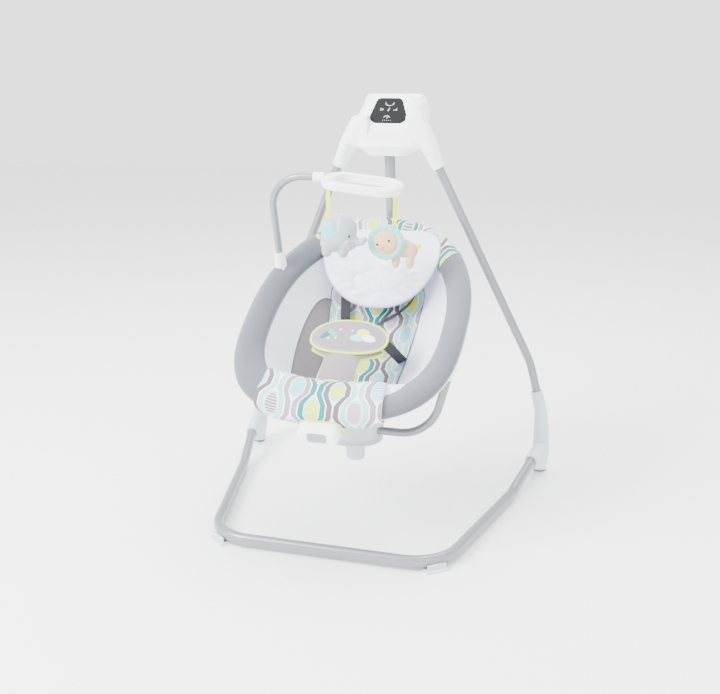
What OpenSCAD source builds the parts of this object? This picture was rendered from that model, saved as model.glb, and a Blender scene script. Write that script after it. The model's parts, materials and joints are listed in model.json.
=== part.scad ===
// Baby swing: a free-standing frame, a motor head, a swing arm with a turning hub,
// and a padded oval seat with a toy bar. Millimetres. +X is the swing's right-hand side
// as seen from the front, the footrest points to -Y, +Z is up, and the floor is z = 0.

/* [Stand] */
// Height of the top of the head above the floor
stand_h = 1000; // [900:5:1100]
// Distance between the mouths of the two base sockets
stand_w = 794; // [740:2:840]
// How far the front bar of the base lies in front of the middle
base_front = 325; // [300:1:360]
// Distance between the two front corners of the base tube
base_front_w = 536; // [480:2:600]
// Radius of the front bends of the base tube
base_bend_r = 110; // [80:1:140]
// Width of the base tube
base_tube_w = 23; // [20:0.5:28]
// Height of the base tube
base_tube_h = 29; // [26:0.5:34]
// Height of the base tube above the floor
base_clear = 5.5; // [4:0.5:10]
// Depth position of the base socket mouths behind the middle
boot_mouth_y = 236; // [210:1:260]
// Outside diameter of the leg tubes
leg_d = 22; // [18:0.5:26]
// Wall of all the steel tubes
tube_wall = 1.4; // [1:0.1:2.5]
// Length of a leg tube inside its boot
leg_seat_len = 74; // [50:1:90]
// Thickness of the rubber soles
sole_t = 3; // [2:0.5:5]

/* [Head] */
// Greatest width of the head between its shoulders
head_w = 180; // [160:1:200]
// Wall of the head shells
head_wall = 3; // [2:0.1:4]
// Height of the swing axle below the top of the head
axle_drop = 70; // [60:1:80]
// Diameter of the swing axle
axle_d = 10; // [8:0.5:12]
// Width of the control panel at its widest
panel_w = 96; // [90:1:106]
// Height of the control panel along the sloping face
panel_h = 66; // [56:1:70]
// Thickness of the control panel
panel_t = 2.4; // [2:0.1:3]

/* [Swing arm] */
// Diameter of the swing arm tube
arm_d = 27; // [24:0.5:30]
// Backward lean of the swing arm
arm_lean = 8.3; // [6:0.1:10]
// Radius of the bend at the foot of the swing arm
arm_bend_r = 130; // [100:1:150]
// Furthest swing to each side
swing_max = 12; // [8:1:14]

/* [Hub and cradle] */
// Depth position of the vertical hub axis
hub_y = -60; // [-80:1:-40]
// Height of the rim of the hub bell
hub_rim_z = 191; // [185:1:215]
// Diameter of the hub bell at its rim
hub_rim_d = 133; // [125:1:145]
// Diameter of the hub bell above its flare
hub_body_d = 115; // [105:1:120]
// Height of the hub bell without its cap
hub_bell_h = 54; // [50:1:60]
// Diameter of the release knob
knob_d = 46; // [40:1:50]
// Height of the release knob
knob_h = 31; // [26:1:36]
// Downward travel of the release knob
knob_travel = 6; // [4:0.5:8]
// Diameter of the cradle tubes
cradle_d = 20; // [18:0.5:22]
// Radius of the cradle tube bends
cradle_bend_r = 98; // [80:1:110]
// Height of the recline pivots above the hub rim
recline_rise = 249; // [235:1:265]
// Distance from each side of the rim in to the side connector's outer face
connector_gap = 7; // [4:0.5:10]

/* [Seat] */
// Overall width of the seat rim
seat_w = 530; // [500:2:560]
// Length of the rim from its widest point to the top of the back
seat_up = 354; // [330:2:370]
// Length of the rim from its widest point to the front edge
seat_down = 303; // [290:2:320]
// Tilt of the rim plane
seat_tilt = 32; // [26:0.5:36]
// Height of the rim plane above the recline pivots, square to the plane
rim_rise = 44; // [40:1:52]
// Radius of the padded rim
rim_r = 16; // [14:0.5:18]
// Diameter of the steel ring inside the rim
ring_d = 16; // [12:0.5:18]
// Depth of the seat bucket below the rim plane
bucket_depth = 165; // [140:1:175]
// Thickness of the seat fabric and its filling
bucket_t = 12; // [8:0.5:16]
// Thickness of the patterned body pad
pad_t = 10; // [6:0.5:14]
// Width of the footrest
footrest_w = 296; // [260:2:320]

/* [Toy bar] */
// Diameter of the toy bar tube
bar_d = 17.6; // [15:0.2:20]
// Height of the bar's bend above its socket's foot
bar_rise = 231; // [210:1:245]
// Radius of the bend of the toy bar
bar_bend_r = 84; // [70:1:95]
// Reach of the toy bar over the seat
bar_reach = 134; // [120:1:145]
// Length of the toy ring
loop_w = 190; // [170:1:200]
// Depth of the toy ring from front to back
loop_d = 116; // [100:1:130]
// Thickness of the toy ring
loop_t = 19; // [15:0.5:22]
// Length of the toy straps
strap_len = 34; // [26:1:44]

/* [Fits] */
// Clearance round a tube in its socket
fit = 0.3; // [0.2:0.05:0.4]
// Radial clearance of a turning shaft
run_fit = 0.05; // [0.02:0.01:0.1]

/* [Hidden] */
fine = 64;
soft_fn = 24;
eps = 0.01;
bend_lap = 0.5;
bend_slim = 0.05;
$slim = 0;

// ---- Colours
c_tube = [0.72, 0.73, 0.73];
c_white = [0.95, 0.95, 0.95];
c_hub = [0.85, 0.87, 0.87];
c_velour = [0.66, 0.68, 0.70];
c_panelcloth = [0.91, 0.91, 0.97];
c_teal = [0.36, 0.66, 0.66];
c_lime = [0.87, 0.90, 0.56];
c_webbing = [0.2, 0.2, 0.21];
c_steel = [0.6, 0.6, 0.62];

// ---- Vectors and bars
function unit(v) = v / norm(v);
function mirrored(p) = [-p.x, p.y, p.z];
function tangent_len(a, p, b, r) = r / tan(acos(unit(a - p) * unit(b - p)) / 2);
function cut(points, radii, i, toward) =
    let (p = points[i], q = points[toward])
    (i == 0 || i == len(points) - 1) ? p
        : p + unit(q - p) * tangent_len(points[i - 1], p, points[i + 1], radii[i]);

// Puts local X, Y and Z along three unit vectors, at a place
module frame_at(o, x, y, z) {
    multmatrix([
        [x.x, y.x, z.x, o.x],
        [x.y, y.y, z.y, o.y],
        [x.z, y.z, z.z, o.z],
        [0, 0, 0, 1]
    ]) children();
}

// Stands local Z along a line, with local Y as near to straight up as it goes
module along(a, b) {
    z = unit(b - a);
    side = cross([0, 0, 1], z);
    x = norm(side) < 0.001 ? [1, 0, 0] : unit(side);
    frame_at(a, x, cross(z, x), z) children();
}

// One bend from the straight towards a, round the corner p, to the straight towards b.
// climbs swaps the profile's two axes, for a bend that climbs.
module bend(a, p, b, r, climbs = false) {
    u = unit(a - p);
    w = unit(b - p);
    half = acos(u * w) / 2;
    c = p + unit(u + w) * r / sin(half);
    x = unit(p + u * r / tan(half) - c);
    e = unit(p + w * r / tan(half) - c);
    m = unit(cross(x, e));
    frame_at(c, x, cross(m, x), m)
        rotate_extrude(angle = 180 - 2 * half, $fn = 2 * fine)
            translate([r, 0]) rotate(climbs ? 90 : 0) children();
}

// A bar of any profile through corner points with a radius at each inner corner. The
// straights run a little way into the bends, whose profile is slimmer by $slim.
module bar_of(points, radii, climbs = []) {
    last = len(points) - 1;
    for (i = [0 : last - 1]) {
        s = cut(points, radii, i, i + 1);
        e = cut(points, radii, i + 1, i);
        run = unit(e - s);
        before = i == 0 ? 0 : bend_lap;
        after = i == last - 1 ? 0 : bend_lap;
        along(s - run * before, e + run * after)
            linear_extrude(norm(e - s) + before + after) {
                $slim = 0;
                children();
            }
    }
    for (i = [1 : last - 1])
        bend(points[i - 1], points[i], points[i + 1], radii[i], len(search(i, climbs)) > 0) {
            $slim = bend_slim;
            children();
        }
}

// The same points with both ends moved out along their straights
function stretched(points, by) =
    let (last = len(points) - 1)
    [for (i = [0 : last])
        i == 0 ? points[0] + unit(points[0] - points[1]) * by
        : i == last ? points[last] + unit(points[last] - points[last - 1]) * by
        : points[i]];

module round_tube(points, radii, d) {
    difference() {
        bar_of(points, radii) circle(d = d - $slim, $fn = fine);
        bar_of(stretched(points, 1), radii) circle(d = d - 2 * tube_wall - $slim, $fn = fine);
    }
}

module both() {
    children();
    mirror([1, 0, 0]) children();
}

// ---- Swept and draped soft solids
// Joins a grid of rows and columns above to a matching grid below into one closed solid
module sheet_solid(top, bottom) {
    rows = len(top);
    cols = len(top[0]);
    n = rows * cols;
    function at(i, j) = i * cols + j;
    polyhedron(
        points = concat([for (row = top) each row], [for (row = bottom) each row]),
        faces = concat(
            [for (i = [0 : rows - 2], j = [0 : cols - 2])
                each [[at(i, j), at(i + 1, j), at(i + 1, j + 1)],
                      [at(i, j), at(i + 1, j + 1), at(i, j + 1)]]],
            [for (i = [0 : rows - 2], j = [0 : cols - 2])
                each [[n + at(i, j), n + at(i + 1, j + 1), n + at(i + 1, j)],
                      [n + at(i, j), n + at(i, j + 1), n + at(i + 1, j + 1)]]],
            [for (i = [0 : rows - 2])
                each [[at(i, 0), n + at(i + 1, 0), at(i + 1, 0)],
                      [at(i, 0), n + at(i, 0), n + at(i + 1, 0)],
                      [at(i, cols - 1), at(i + 1, cols - 1), n + at(i + 1, cols - 1)],
                      [at(i, cols - 1), n + at(i + 1, cols - 1), n + at(i, cols - 1)]]],
            [for (j = [0 : cols - 2])
                each [[at(0, j), at(0, j + 1), n + at(0, j + 1)],
                      [at(0, j), n + at(0, j + 1), n + at(0, j)],
                      [at(rows - 1, j), n + at(rows - 1, j + 1), at(rows - 1, j + 1)],
                      [at(rows - 1, j), n + at(rows - 1, j), n + at(rows - 1, j + 1)]]]
        ),
        convexity = 6
    );
}

// A round roll along a flat path, closed on itself or with two flat ends
module roll(path, r, sides, closed) {
    n = len(path);
    function prev(i) = closed ? path[(i + n - 1) % n] : path[max(i - 1, 0)];
    function next(i) = closed ? path[(i + 1) % n] : path[min(i + 1, n - 1)];
    rings = [for (i = [0 : n - 1])
        let (t = unit(next(i) - prev(i)), s = [t.y, -t.x, 0])
        [for (k = [0 : sides - 1])
            path[i] + r * (cos(360 * k / sides) * s + sin(360 * k / sides) * [0, 0, 1])]];
    spans = closed ? n : n - 1;
    caps = closed ? [] : [[for (k = [0 : sides - 1]) k],
                          [for (k = [sides - 1 : -1 : 0]) (n - 1) * sides + k]];
    polyhedron(
        points = [for (ring = rings) each ring],
        faces = concat(
            [for (i = [0 : spans - 1], k = [0 : sides - 1])
                let (a = i * sides, b = ((i + 1) % n) * sides, q = (k + 1) % sides)
                [a + k, b + k, b + q, a + q]],
            caps),
        convexity = 8
    );
}

// ---- Stand
base_z = base_clear + base_tube_h / 2;
boot_mouth = [stand_w / 2, boot_mouth_y, base_z + 37];
base_corner = [base_front_w / 2, -base_front, base_z];
plan_side = unit([boot_mouth.x - base_corner.x, boot_mouth.y - base_corner.y, 0]);
ramp_foot = [boot_mouth.x, boot_mouth.y, base_z] - plan_side * 145;
ramp = unit(boot_mouth - ramp_foot);
base_end = boot_mouth + ramp * 54;
base_points = [
    base_end, ramp_foot, base_corner,
    mirrored(base_corner), mirrored(ramp_foot), mirrored(base_end)
];
base_radii = [0, 160, base_bend_r, base_bend_r, 160, 0];

module obround(w, h) {
    square([w - $slim, h - w], center = true);
    for (s = [-1, 1]) translate([0, s * (h - w) / 2]) circle(d = w - $slim, $fn = fine);
}

module base_tube() {
    color(c_tube) difference() {
        bar_of(base_points, base_radii, [1, 4]) obround(base_tube_w, base_tube_h);
        bar_of(stretched(base_points, 1), base_radii, [1, 4])
            obround(base_tube_w - 2 * tube_wall, base_tube_h - 2 * tube_wall);
    }
}

head_z = stand_h;
leg_top = [105, 224, head_z - 120];
leg_knee = [boot_mouth.x - 25, boot_mouth.y + 109, 300];
leg_foot = [boot_mouth.x + 13, boot_mouth.y + 117, 148];
leg_down = unit(leg_foot - leg_knee);
leg_main = unit(leg_knee - leg_top);
leg_points = [leg_top, leg_knee, leg_foot];
boot_top = leg_foot - leg_down * leg_seat_len;

module leg_tube() {
    color(c_tube) round_tube(leg_points, [0, 250, 0], leg_d);
}
module leg_tube_left() mirror([1, 0, 0]) leg_tube();
module leg_tube_right() leg_tube();

heel = [boot_mouth.x + 16, boot_mouth.y + 96, sole_t];
sole_d = 34;

// A boot joins a leg to the base tube: a slim sleeve that swells towards the floor
module boot() {
    ankle = heel + [0, 3, 48];
    calf = heel + [-2, 15, 105];
    collar_r = leg_d / 2 + 4.5;
    color(c_white) difference() {
        union() {
            hull() {
                along(boot_top, leg_foot) cylinder(r = collar_r, h = 3, $fn = 32);
                translate(leg_foot - leg_down * 16) sphere(r = collar_r + 1.5, $fn = 24);
            }
            hull() {
                translate(leg_foot - leg_down * 16) sphere(r = collar_r + 1.5, $fn = 24);
                translate(calf) sphere(r = 21, $fn = 24);
            }
            hull() {
                translate(calf) sphere(r = 21, $fn = 24);
                translate(ankle) sphere(r = 23, $fn = 24);
                translate(heel) cylinder(d = sole_d, h = 4, $fn = 32);
            }
            hull() {
                translate(ankle) sphere(r = 23, $fn = 24);
                translate(heel) cylinder(d = sole_d, h = 4, $fn = 32);
                along(boot_mouth, base_end) linear_extrude(3)
                    obround(base_tube_w + 9, base_tube_h + 9, $fn = 32);
            }
        }
        along(boot_top - leg_down, leg_foot) cylinder(
            d = leg_d + 2 * fit, h = leg_seat_len + 1.5, $fn = fine);
        along(boot_mouth - ramp, base_end) linear_extrude(56)
            obround(base_tube_w + 2 * fit, base_tube_h + 2 * fit);
        pin_bore(boot_top + leg_down * 22, leg_down);
    }
}
module boot_left() mirror([1, 0, 0]) boot();
module boot_right() boot();

module sole_pads() {
    color("dimgray") both() translate([heel.x, heel.y, 0]) difference() {
        cylinder(d = sole_d, h = sole_t, $fn = fine);
        for (k = [-1 : 1]) translate([0, 9 * k, 0]) cube([sole_d, 2.4, 1.6], center = true);
    }
}

// The clip-on foot under a front bend of the base tube
foot_u = unit([boot_mouth.x - base_corner.x, boot_mouth.y - base_corner.y, 0]);
foot_half = acos(foot_u * [-1, 0, 0]) / 2;
foot_in = unit(foot_u + [-1, 0, 0]);
foot_at = base_corner + foot_in * base_bend_r * (1 / sin(foot_half) - 1);
module front_foot() {
    turn = atan2(foot_in.y, foot_in.x) - 90;
    inner_edge = base_tube_w / 2 + 22 * 22 / (2 * base_bend_r) + fit;
    color(c_white) translate([foot_at.x, foot_at.y, 0]) rotate([0, 0, turn]) {
        hull() {
            translate([-24, -19, 0]) linear_extrude(2.6) offset(6, $fn = 24)
                square([48, 36]);
            translate([-23, -18, base_clear - fit - 1]) linear_extrude(1) offset(4, $fn = 24)
                square([46, 34]);
        }
        translate([-22, -base_tube_w / 2 - fit - 4.5, 1])
            cube([44, 4.5, base_z - 5]);
        translate([-22, inner_edge, 1]) cube([44, 4.5, base_z - 5]);
    }
}
module front_foot_left() mirror([1, 0, 0]) front_foot();
module front_foot_right() front_foot();

// Pins that lock the leg tubes in their sockets
lock_pin_d = 7;
module pin_at(p, axis, r) {
    out = unit(cross(axis, [1, 0, 0]) * -1);
    along(p + out * (r + fit), p + out * 40) cylinder(d = lock_pin_d, h = 3.5, $fn = fine);
}
module leg_lock_pins() {
    color(c_steel) both() {
        pin_at(boot_top + leg_down * 22, leg_down, leg_d / 2);
        pin_at(leg_top + leg_main * 40, leg_main, leg_d / 2);
    }
}

// ---- Head
axle = [0, 0, head_z - axle_drop];
face_y0 = 206;
face_z0 = head_z - 128;
face_lean = atan((254 - 206) / 118);
function face_y(z) = face_y0 + (z - face_z0) * tan(face_lean);
split_y = 290;
rear_y = 341;
shoulder_z = head_z - 55;

// A rounded quadrilateral between a narrower front and a wider rear, as a ring of points
head_arc_steps = 4;
function head_ring(half_front, half_rear, front, rear, r, z, t) =
    [for (q = [0 : 3], k = [0 : head_arc_steps])
        let (
            sx = q == 0 || q == 3 ? 1 : -1,
            half = q < 2 ? half_rear : half_front,
            a = 90 * q + 90 * k / head_arc_steps
        )
        [sx * (half - r) + (r - t) * cos(a),
            (q < 2 ? rear - r : front + r) + (r - t) * sin(a), z]];

// One closed solid through rings of points stacked from the bottom up
module loft(rings) {
    n = len(rings[0]);
    last = len(rings) - 1;
    polyhedron(
        points = [for (ring = rings) each ring],
        faces = concat(
            [[for (k = [0 : n - 1]) k]],
            [for (i = [0 : last - 1], k = [0 : n - 1])
                let (a = i * n, b = a + n, m = (k + 1) % n)
                each [[a + k, b + m, a + m], [a + k, b + k, b + m]]],
            [[for (k = [n - 1 : -1 : 0]) last * n + k]]),
        convexity = 6);
}
module head_body(t) {
    w = head_w / 2;
    face_top = face_y(head_z - 14);
    loft([
        head_ring(48, 48, 212, 316, 20, head_z - 151 + t, t),
        head_ring(w - 9, w - 9, face_y(face_z0), 334, 24, face_z0, t),
        head_ring(w - 3, w, face_y(shoulder_z), rear_y, 24, shoulder_z, t),
        head_ring(w - 15, w - 4, face_y(head_z - 30), rear_y, 26, head_z - 30, t),
        head_ring(w - 31, w - 9, face_top, rear_y - 1, 26, head_z - 14, t),
        head_ring(w - 46, w - 15, face_top + 12, rear_y - 9, 22, head_z - 5 - t * 0.6, t),
        head_ring(w - 58, w - 27, face_top + 26, rear_y - 22, 14, head_z - t, t)
    ]);
}

socket_end = leg_top + leg_main * 66;
// The two shoulders that run down into the leg sockets
module shoulder() {
    r = leg_d / 2 + 4.5;
    hull() {
        translate([head_w / 2 - 40, 216, shoulder_z - 70])
            cube([36, 60, 72]);
        translate(leg_top + [-4, 14, 4]) sphere(r = r + 8, $fn = 24);
    }
    hull() {
        translate(leg_top + [-4, 14, 4]) sphere(r = r + 8, $fn = 24);
        along(socket_end - leg_main * 3, socket_end) cylinder(r = r, h = 3, $fn = 32);
    }
}
module leg_bore() {
    along(leg_top - leg_main * 0.5, leg_knee) cylinder(d = leg_d + 2 * fit, h = 80, $fn = 48);
}
module pin_bore(p, axis) {
    out = unit(cross(axis, [1, 0, 0]) * -1);
    along(p, p + out * 40) cylinder(d = lock_pin_d + 1, h = 40, $fn = 24);
}

arm_top_y = 249;
arm_top = [0, arm_top_y, head_z - 112];
arm_run_z = hub_rim_z - 19;
arm_corner = [0, arm_top_y + (arm_top.z - arm_run_z) * tan(arm_lean), arm_run_z];
arm_up = unit(arm_top - arm_corner);
slot_x = arm_d / 2 / cos(swing_max) + (axle.z - head_z + 151) * tan(swing_max) + 3;

module arm_slot() {
    translate([-slot_x, arm_top_y - 24, head_z - 170]) cube([2 * slot_x, 52, 40]);
}

module in_face(z) {
    translate([0, face_y(z), z]) rotate([90 - face_lean, 0, 0]) children();
}
panel_z = head_z - 41;
module panel_outline(grow) {
    k = 12;
    offset(k + grow, $fn = 32) polygon([
        [-panel_w * 0.36 + k, panel_h / 2 - k], [panel_w * 0.36 - k, panel_h / 2 - k],
        [panel_w / 2 - k, -panel_h * 0.26], [panel_w * 0.44 - k, -panel_h / 2 + k],
        [-panel_w * 0.44 + k, -panel_h / 2 + k], [-panel_w / 2 + k, -panel_h * 0.26]
    ]);
}

module axle_boss(y0, y1) {
    translate([0, y1, axle.z]) rotate([90, 0, 0]) difference() {
        cylinder(d = axle_d + 12, h = y1 - y0, $fn = fine);
        translate([0, 0, -1]) cylinder(d = axle_d + 2 * run_fit, h = y1 - y0 + 2, $fn = fine);
    }
}
axle_y0 = face_y(axle.z + axle_d / 2 + 6) + head_wall + 2 * fit;
axle_y1 = rear_y - head_wall - 2.5 - fit;
hanger_y0 = axle_y0 + 12;
hanger_y1 = hanger_y0 + 30;
board_drop = 9;
board_w = 74;
board_h = 34;
board_z = head_z - 36;

module head_front() {
    color(c_white) difference() {
        union() {
            difference() {
                union() {
                    intersection() {
                        head_body(0);
                        translate([-200, 0, head_z - 200]) cube([400, split_y, 220]);
                    }
                    both() intersection() {
                        shoulder();
                        translate([0, 0, head_z - 260]) cube([400, split_y, 280]);
                    }
                }
                head_body(head_wall);
                in_face(panel_z) translate([0, 0, -panel_t]) linear_extrude(20)
                    panel_outline(fit);
            }
            both() for (s = [-1, 1])
                in_face(board_z) translate([board_w / 2 - 5, s * (board_h / 2 - 5), -board_drop])
                    cylinder(d = 6, h = board_drop - panel_t - 0.1, $fn = 24);
            both() intersection() {
                shoulder_core();
                head_body(head_wall / 2);
            }
        }
        both() leg_bore();
        both() pin_bore(leg_top + leg_main * 40, leg_main);
        arm_slot();
    }
}
// Plastic round the upper end of each leg socket inside the shell
module shoulder_core() {
    along(leg_top - leg_main * 4, leg_knee) cylinder(d = leg_d + 8, h = 30, $fn = 32);
}

door_w = 150;
door_h = 56;
door_z = head_z - 136;
cell_d = 26.2;
cell_h = 50;
cell_y = rear_y - head_wall - cell_d / 2 - 10;
cell_x = [31, 58.5];
tray_z = head_z - 133;
module head_rear() {
    color(c_white) difference() {
        intersection() {
            head_body(0);
            translate([-200, split_y + 0.1, head_z - 200]) cube([400, 100, 220]);
        }
        head_body(head_wall);
        translate([-door_w / 2, rear_y - 20, door_z]) cube([door_w, 30, door_h]);
    }
}
module battery_door() {
    g = 0.4;
    color(c_white) intersection() {
        translate([-door_w / 2 + g, rear_y - 12, door_z + g])
            cube([door_w - 2 * g, 20, door_h - 2 * g]);
        difference() {
            head_body(0);
            head_body(head_wall);
        }
    }
}
module battery_tray() {
    color("dimgray") difference() {
        intersection() {
            translate([-78, split_y + 8, tray_z]) cube([156, 50, 22]);
            head_body(head_wall + fit);
        }
        for (x = cell_x, s = [-1, 1])
            translate([s * x, cell_y, tray_z + 8]) cylinder(d = cell_d + 1, h = 20, $fn = 48);
    }
}
module battery_cells() {
    color("goldenrod") for (x = cell_x, s = [-1, 1])
        translate([s * x, cell_y, tray_z + 8.3]) {
            cylinder(d = cell_d, h = cell_h - 2, $fn = 48);
            translate([0, 0, cell_h - 2]) cylinder(d = 7, h = 2, $fn = 32);
        }
}

module control_panel() {
    color([0.34, 0.35, 0.36]) in_face(panel_z) translate([0, 0, 0.3 - panel_t])
        linear_extrude(panel_t) panel_outline(0);
}
module circuit_board() {
    color("seagreen") in_face(board_z) translate([0, 0, -board_drop - 1.9]) {
        translate([-board_w / 2, -board_h / 2, 0]) cube([board_w, board_h, 1.6]);
        for (x = [-20, 0, 20]) translate([x - 5, -6, 1.6]) cube([10, 10, 2]);
    }
}
module axle_bearings() {
    color("dimgray") {
        axle_boss(axle_y0, hanger_y0 - fit);
        axle_boss(hanger_y1 + fit, axle_y1);
    }
}
module swing_axle() {
    color(c_steel) translate([0, axle_y1, axle.z]) rotate([90, 0, 0])
        cylinder(d = axle_d, h = axle_y1 - axle_y0, $fn = fine);
}
module head_screws() {
    color(c_steel) both() for (z = [head_z - 34, head_z - 66])
        translate([head_w / 2 - 40, rear_y + 1.6, z]) rotate([90, 0, 0])
            difference() {
                cylinder(d = 7, h = 1.5, $fn = 32);
                for (a = [0, 90]) rotate(a) cube([4.4, 0.9, 1.4], center = true);
            }
}

// ---- Swing arm
paddle_y = hanger_y0 + 24;
magnet_z = axle.z + 36;
module arm_hanger() {
    sock = arm_d / 2 + 3.5;
    color(c_steel) difference() {
        union() {
            translate([0, hanger_y1, axle.z]) rotate([90, 0, 0])
                cylinder(d = axle_d + 16, h = hanger_y1 - hanger_y0, $fn = fine);
            along(arm_top - arm_up * 40, arm_top + arm_up * 12)
                cylinder(r = sock, h = 52, $fn = fine);
            translate([-8, hanger_y0 + 2, arm_top.z - 4])
                cube([16, hanger_y1 - hanger_y0 - 4, axle.z - arm_top.z]);
            translate([-13, paddle_y, axle.z]) cube([26, 5, magnet_z - axle.z + 14]);
        }
        translate([0, hanger_y1 + 1, axle.z]) rotate([90, 0, 0])
            cylinder(d = axle_d + 2 * run_fit, h = hanger_y1 - hanger_y0 + 2, $fn = fine);
        along(arm_top - arm_up * 60, arm_top) cylinder(
            d = arm_d + 2 * fit, h = 60 + fit, $fn = fine);
    }
}
coil_y = paddle_y + 5 + 8 + 3;
module drive_magnet() {
    color("dimgray") translate([0, paddle_y + 13.1, magnet_z]) rotate([90, 0, 0])
        cylinder(d = 24, h = 8, $fn = fine);
}
module drive_coil() {
    color("peru") translate([0, 0, magnet_z]) rotate([-90, 0, 0]) {
        translate([0, 0, coil_y]) difference() {
            cylinder(d = 32, h = 12, $fn = fine);
            translate([0, 0, 2]) difference() {
                cylinder(d = 40, h = 8, $fn = fine);
                cylinder(d = 28, h = 8, $fn = fine);
            }
        }
        translate([0, 0, coil_y + 11]) cylinder(
            d = 12, h = rear_y - head_wall - fit - coil_y - 11, $fn = fine);
    }
}

arm_end_y = hub_y + 29;
module swing_arm() {
    color(c_tube) round_tube(
        [arm_top, arm_corner, [0, arm_end_y, arm_run_z]], [0, arm_bend_r, 0], arm_d);
}

// ---- Hub: a fixed base on the arm, a bell that turns on it, and a knob that frees it
hub_top_z = hub_rim_z + hub_bell_h;
drum_top = hub_rim_z - 2;
drum_z = arm_run_z - 1.5;
post_d = 28;
post_top = hub_top_z - 7;
stem_d = 10;
knob_top = drum_z - 1;
module hub_base() {
    boss_r = arm_d / 2 + 3.2;
    color(c_hub) difference() {
        union() {
            translate([0, hub_y, drum_z]) cylinder(d = 54, h = drum_top - drum_z, $fn = fine);
            translate([0, hub_y, drum_top - eps]) cylinder(
                d = post_d, h = post_top - drum_top, $fn = fine);
            translate([0, arm_end_y + 54, arm_run_z]) rotate([90, 0, 0])
                cylinder(r = boss_r, h = 57, $fn = fine);
            translate([-boss_r, hub_y, drum_z])
                cube([2 * boss_r, arm_end_y - hub_y + 2, drum_top - drum_z]);
        }
        translate([0, arm_end_y + 55, arm_run_z]) rotate([90, 0, 0])
            cylinder(d = arm_d + 2 * fit, h = 55 + fit, $fn = fine);
        translate([0, hub_y, drum_z - 1]) cylinder(
            d = stem_d + 2 * run_fit, h = post_top - drum_z + 2, $fn = fine);
    }
}
module release_knob() {
    color(c_hub) translate([0, hub_y, knob_top - knob_h]) {
        difference() {
            rotate_extrude($fn = fine) polygon(concat(
                [[0, 0], [knob_d / 2 - 6, 0], [knob_d / 2 - 2.5, 1.5], [knob_d / 2 - 1, 5]],
                [for (k = [0 : 4]) each [
                    [knob_d / 2 - 1, 6.5 + 4 * k], [knob_d / 2, 7.5 + 4 * k],
                    [knob_d / 2, 8.8 + 4 * k], [knob_d / 2 - 1, 9.8 + 4 * k]]],
                [[knob_d / 2 - 1, knob_h], [0, knob_h]]));
            translate([0, 0, -1]) cylinder(d = knob_d - 20, h = 4, $fn = fine);
        }
        translate([0, 0, knob_h - eps]) cylinder(
            d = stem_d, h = post_top - knob_top - 2, $fn = fine);
    }
}
flare = (hub_rim_d - hub_body_d) / 2;
module hub_bell() {
    w = 3;
    rim = hub_rim_d / 2;
    body = hub_body_d / 2;
    cz = hub_rim_z + 25;
    color(c_hub) difference() {
        union() {
            translate([0, hub_y, hub_rim_z]) rotate_extrude($fn = 2 * fine) polygon([
                [rim - w, 0], [rim - 0.6, 0], [rim, 0.8], [rim, 3.5], [rim - 0.8, 4.4],
                [rim - flare * 0.55, 8], [rim - flare * 0.85, 12], [body, 17],
                [body, hub_bell_h - 0.4], [body - 0.4, hub_bell_h], [body - 9, hub_bell_h],
                [body - 9, hub_bell_h - w], [body - w, hub_bell_h - w], [body - w, 17],
                [rim - flare * 0.85 - w, 12], [rim - flare * 0.55 - w, 8], [rim - w - 0.8, 4]
            ]);
            translate([0, hub_y, hub_rim_z + 3]) cylinder(
                d = post_d + 12, h = hub_bell_h - 10, $fn = fine);
            for (s = [0, 180]) translate([0, hub_y, cz]) rotate([0, 90, s])
                translate([0, 0, post_d / 2 + 3]) cylinder(
                    d = cradle_d + 7, h = body - post_d / 2 - 4.5, $fn = fine);
            for (a = [45 : 90 : 315]) translate([0, hub_y, hub_rim_z + 17]) rotate(a)
                translate([post_d / 2 + 4, -1.5, 0]) cube([body - post_d / 2 - 5.5, 3, 24]);
        }
        translate([0, hub_y, hub_rim_z]) cylinder(
            d = post_d + 2 * run_fit, h = hub_bell_h + 1, $fn = fine);
        for (s = [0, 180]) translate([0, hub_y, cz]) rotate([0, 90, s])
            translate([0, 0, cradle_in]) cylinder(
                d = cradle_d + 2 * fit, h = body, $fn = fine);
    }
}
cradle_in = post_d / 2 + 9;
module hub_cap() {
    color(c_hub) translate([0, hub_y, hub_top_z]) rotate_extrude($fn = 2 * fine) polygon(concat(
        [[0, 13], [0, 16]],
        [for (a = [84 : -12 : 0]) [hub_body_d / 2 * sin(90 - a) , 16 * sin(a)]],
        [[hub_body_d / 2 - 3, 0]],
        [for (a = [0 : 12 : 84]) [(hub_body_d / 2 - 3) * cos(a), 13 * sin(a)]]));
}
module hub_screws() {
    color(c_steel) for (a = [45 : 90 : 315])
        translate([0, hub_y, hub_top_z - 3 - 4]) rotate(a)
            translate([hub_body_d / 2 - 7, 0, 0]) difference() {
                cylinder(d = 5, h = 3.8, $fn = 32);
                cube([3.4, 0.9, 1.6], center = true);
            }
}

// ---- Cradle tubes and the side connectors at their ends
cradle_z = hub_rim_z + 25;
recline_z = hub_rim_z + recline_rise;
boss_x = seat_w / 2 - connector_gap;
cradle_lean = 15;
cradle_end = [boss_x - 25.5, hub_y, recline_z - 46];
cradle_corner = [
    cradle_end.x - (cradle_end.z - cradle_z) * tan(cradle_lean), hub_y, cradle_z];
module cradle_tube() {
    color(c_tube) round_tube(
        [[cradle_in + 1, hub_y, cradle_z], cradle_corner, cradle_end],
        [0, cradle_bend_r, 0], cradle_d);
}
module cradle_tube_left() mirror([1, 0, 0]) cradle_tube();
module cradle_tube_right() cradle_tube();

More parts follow.
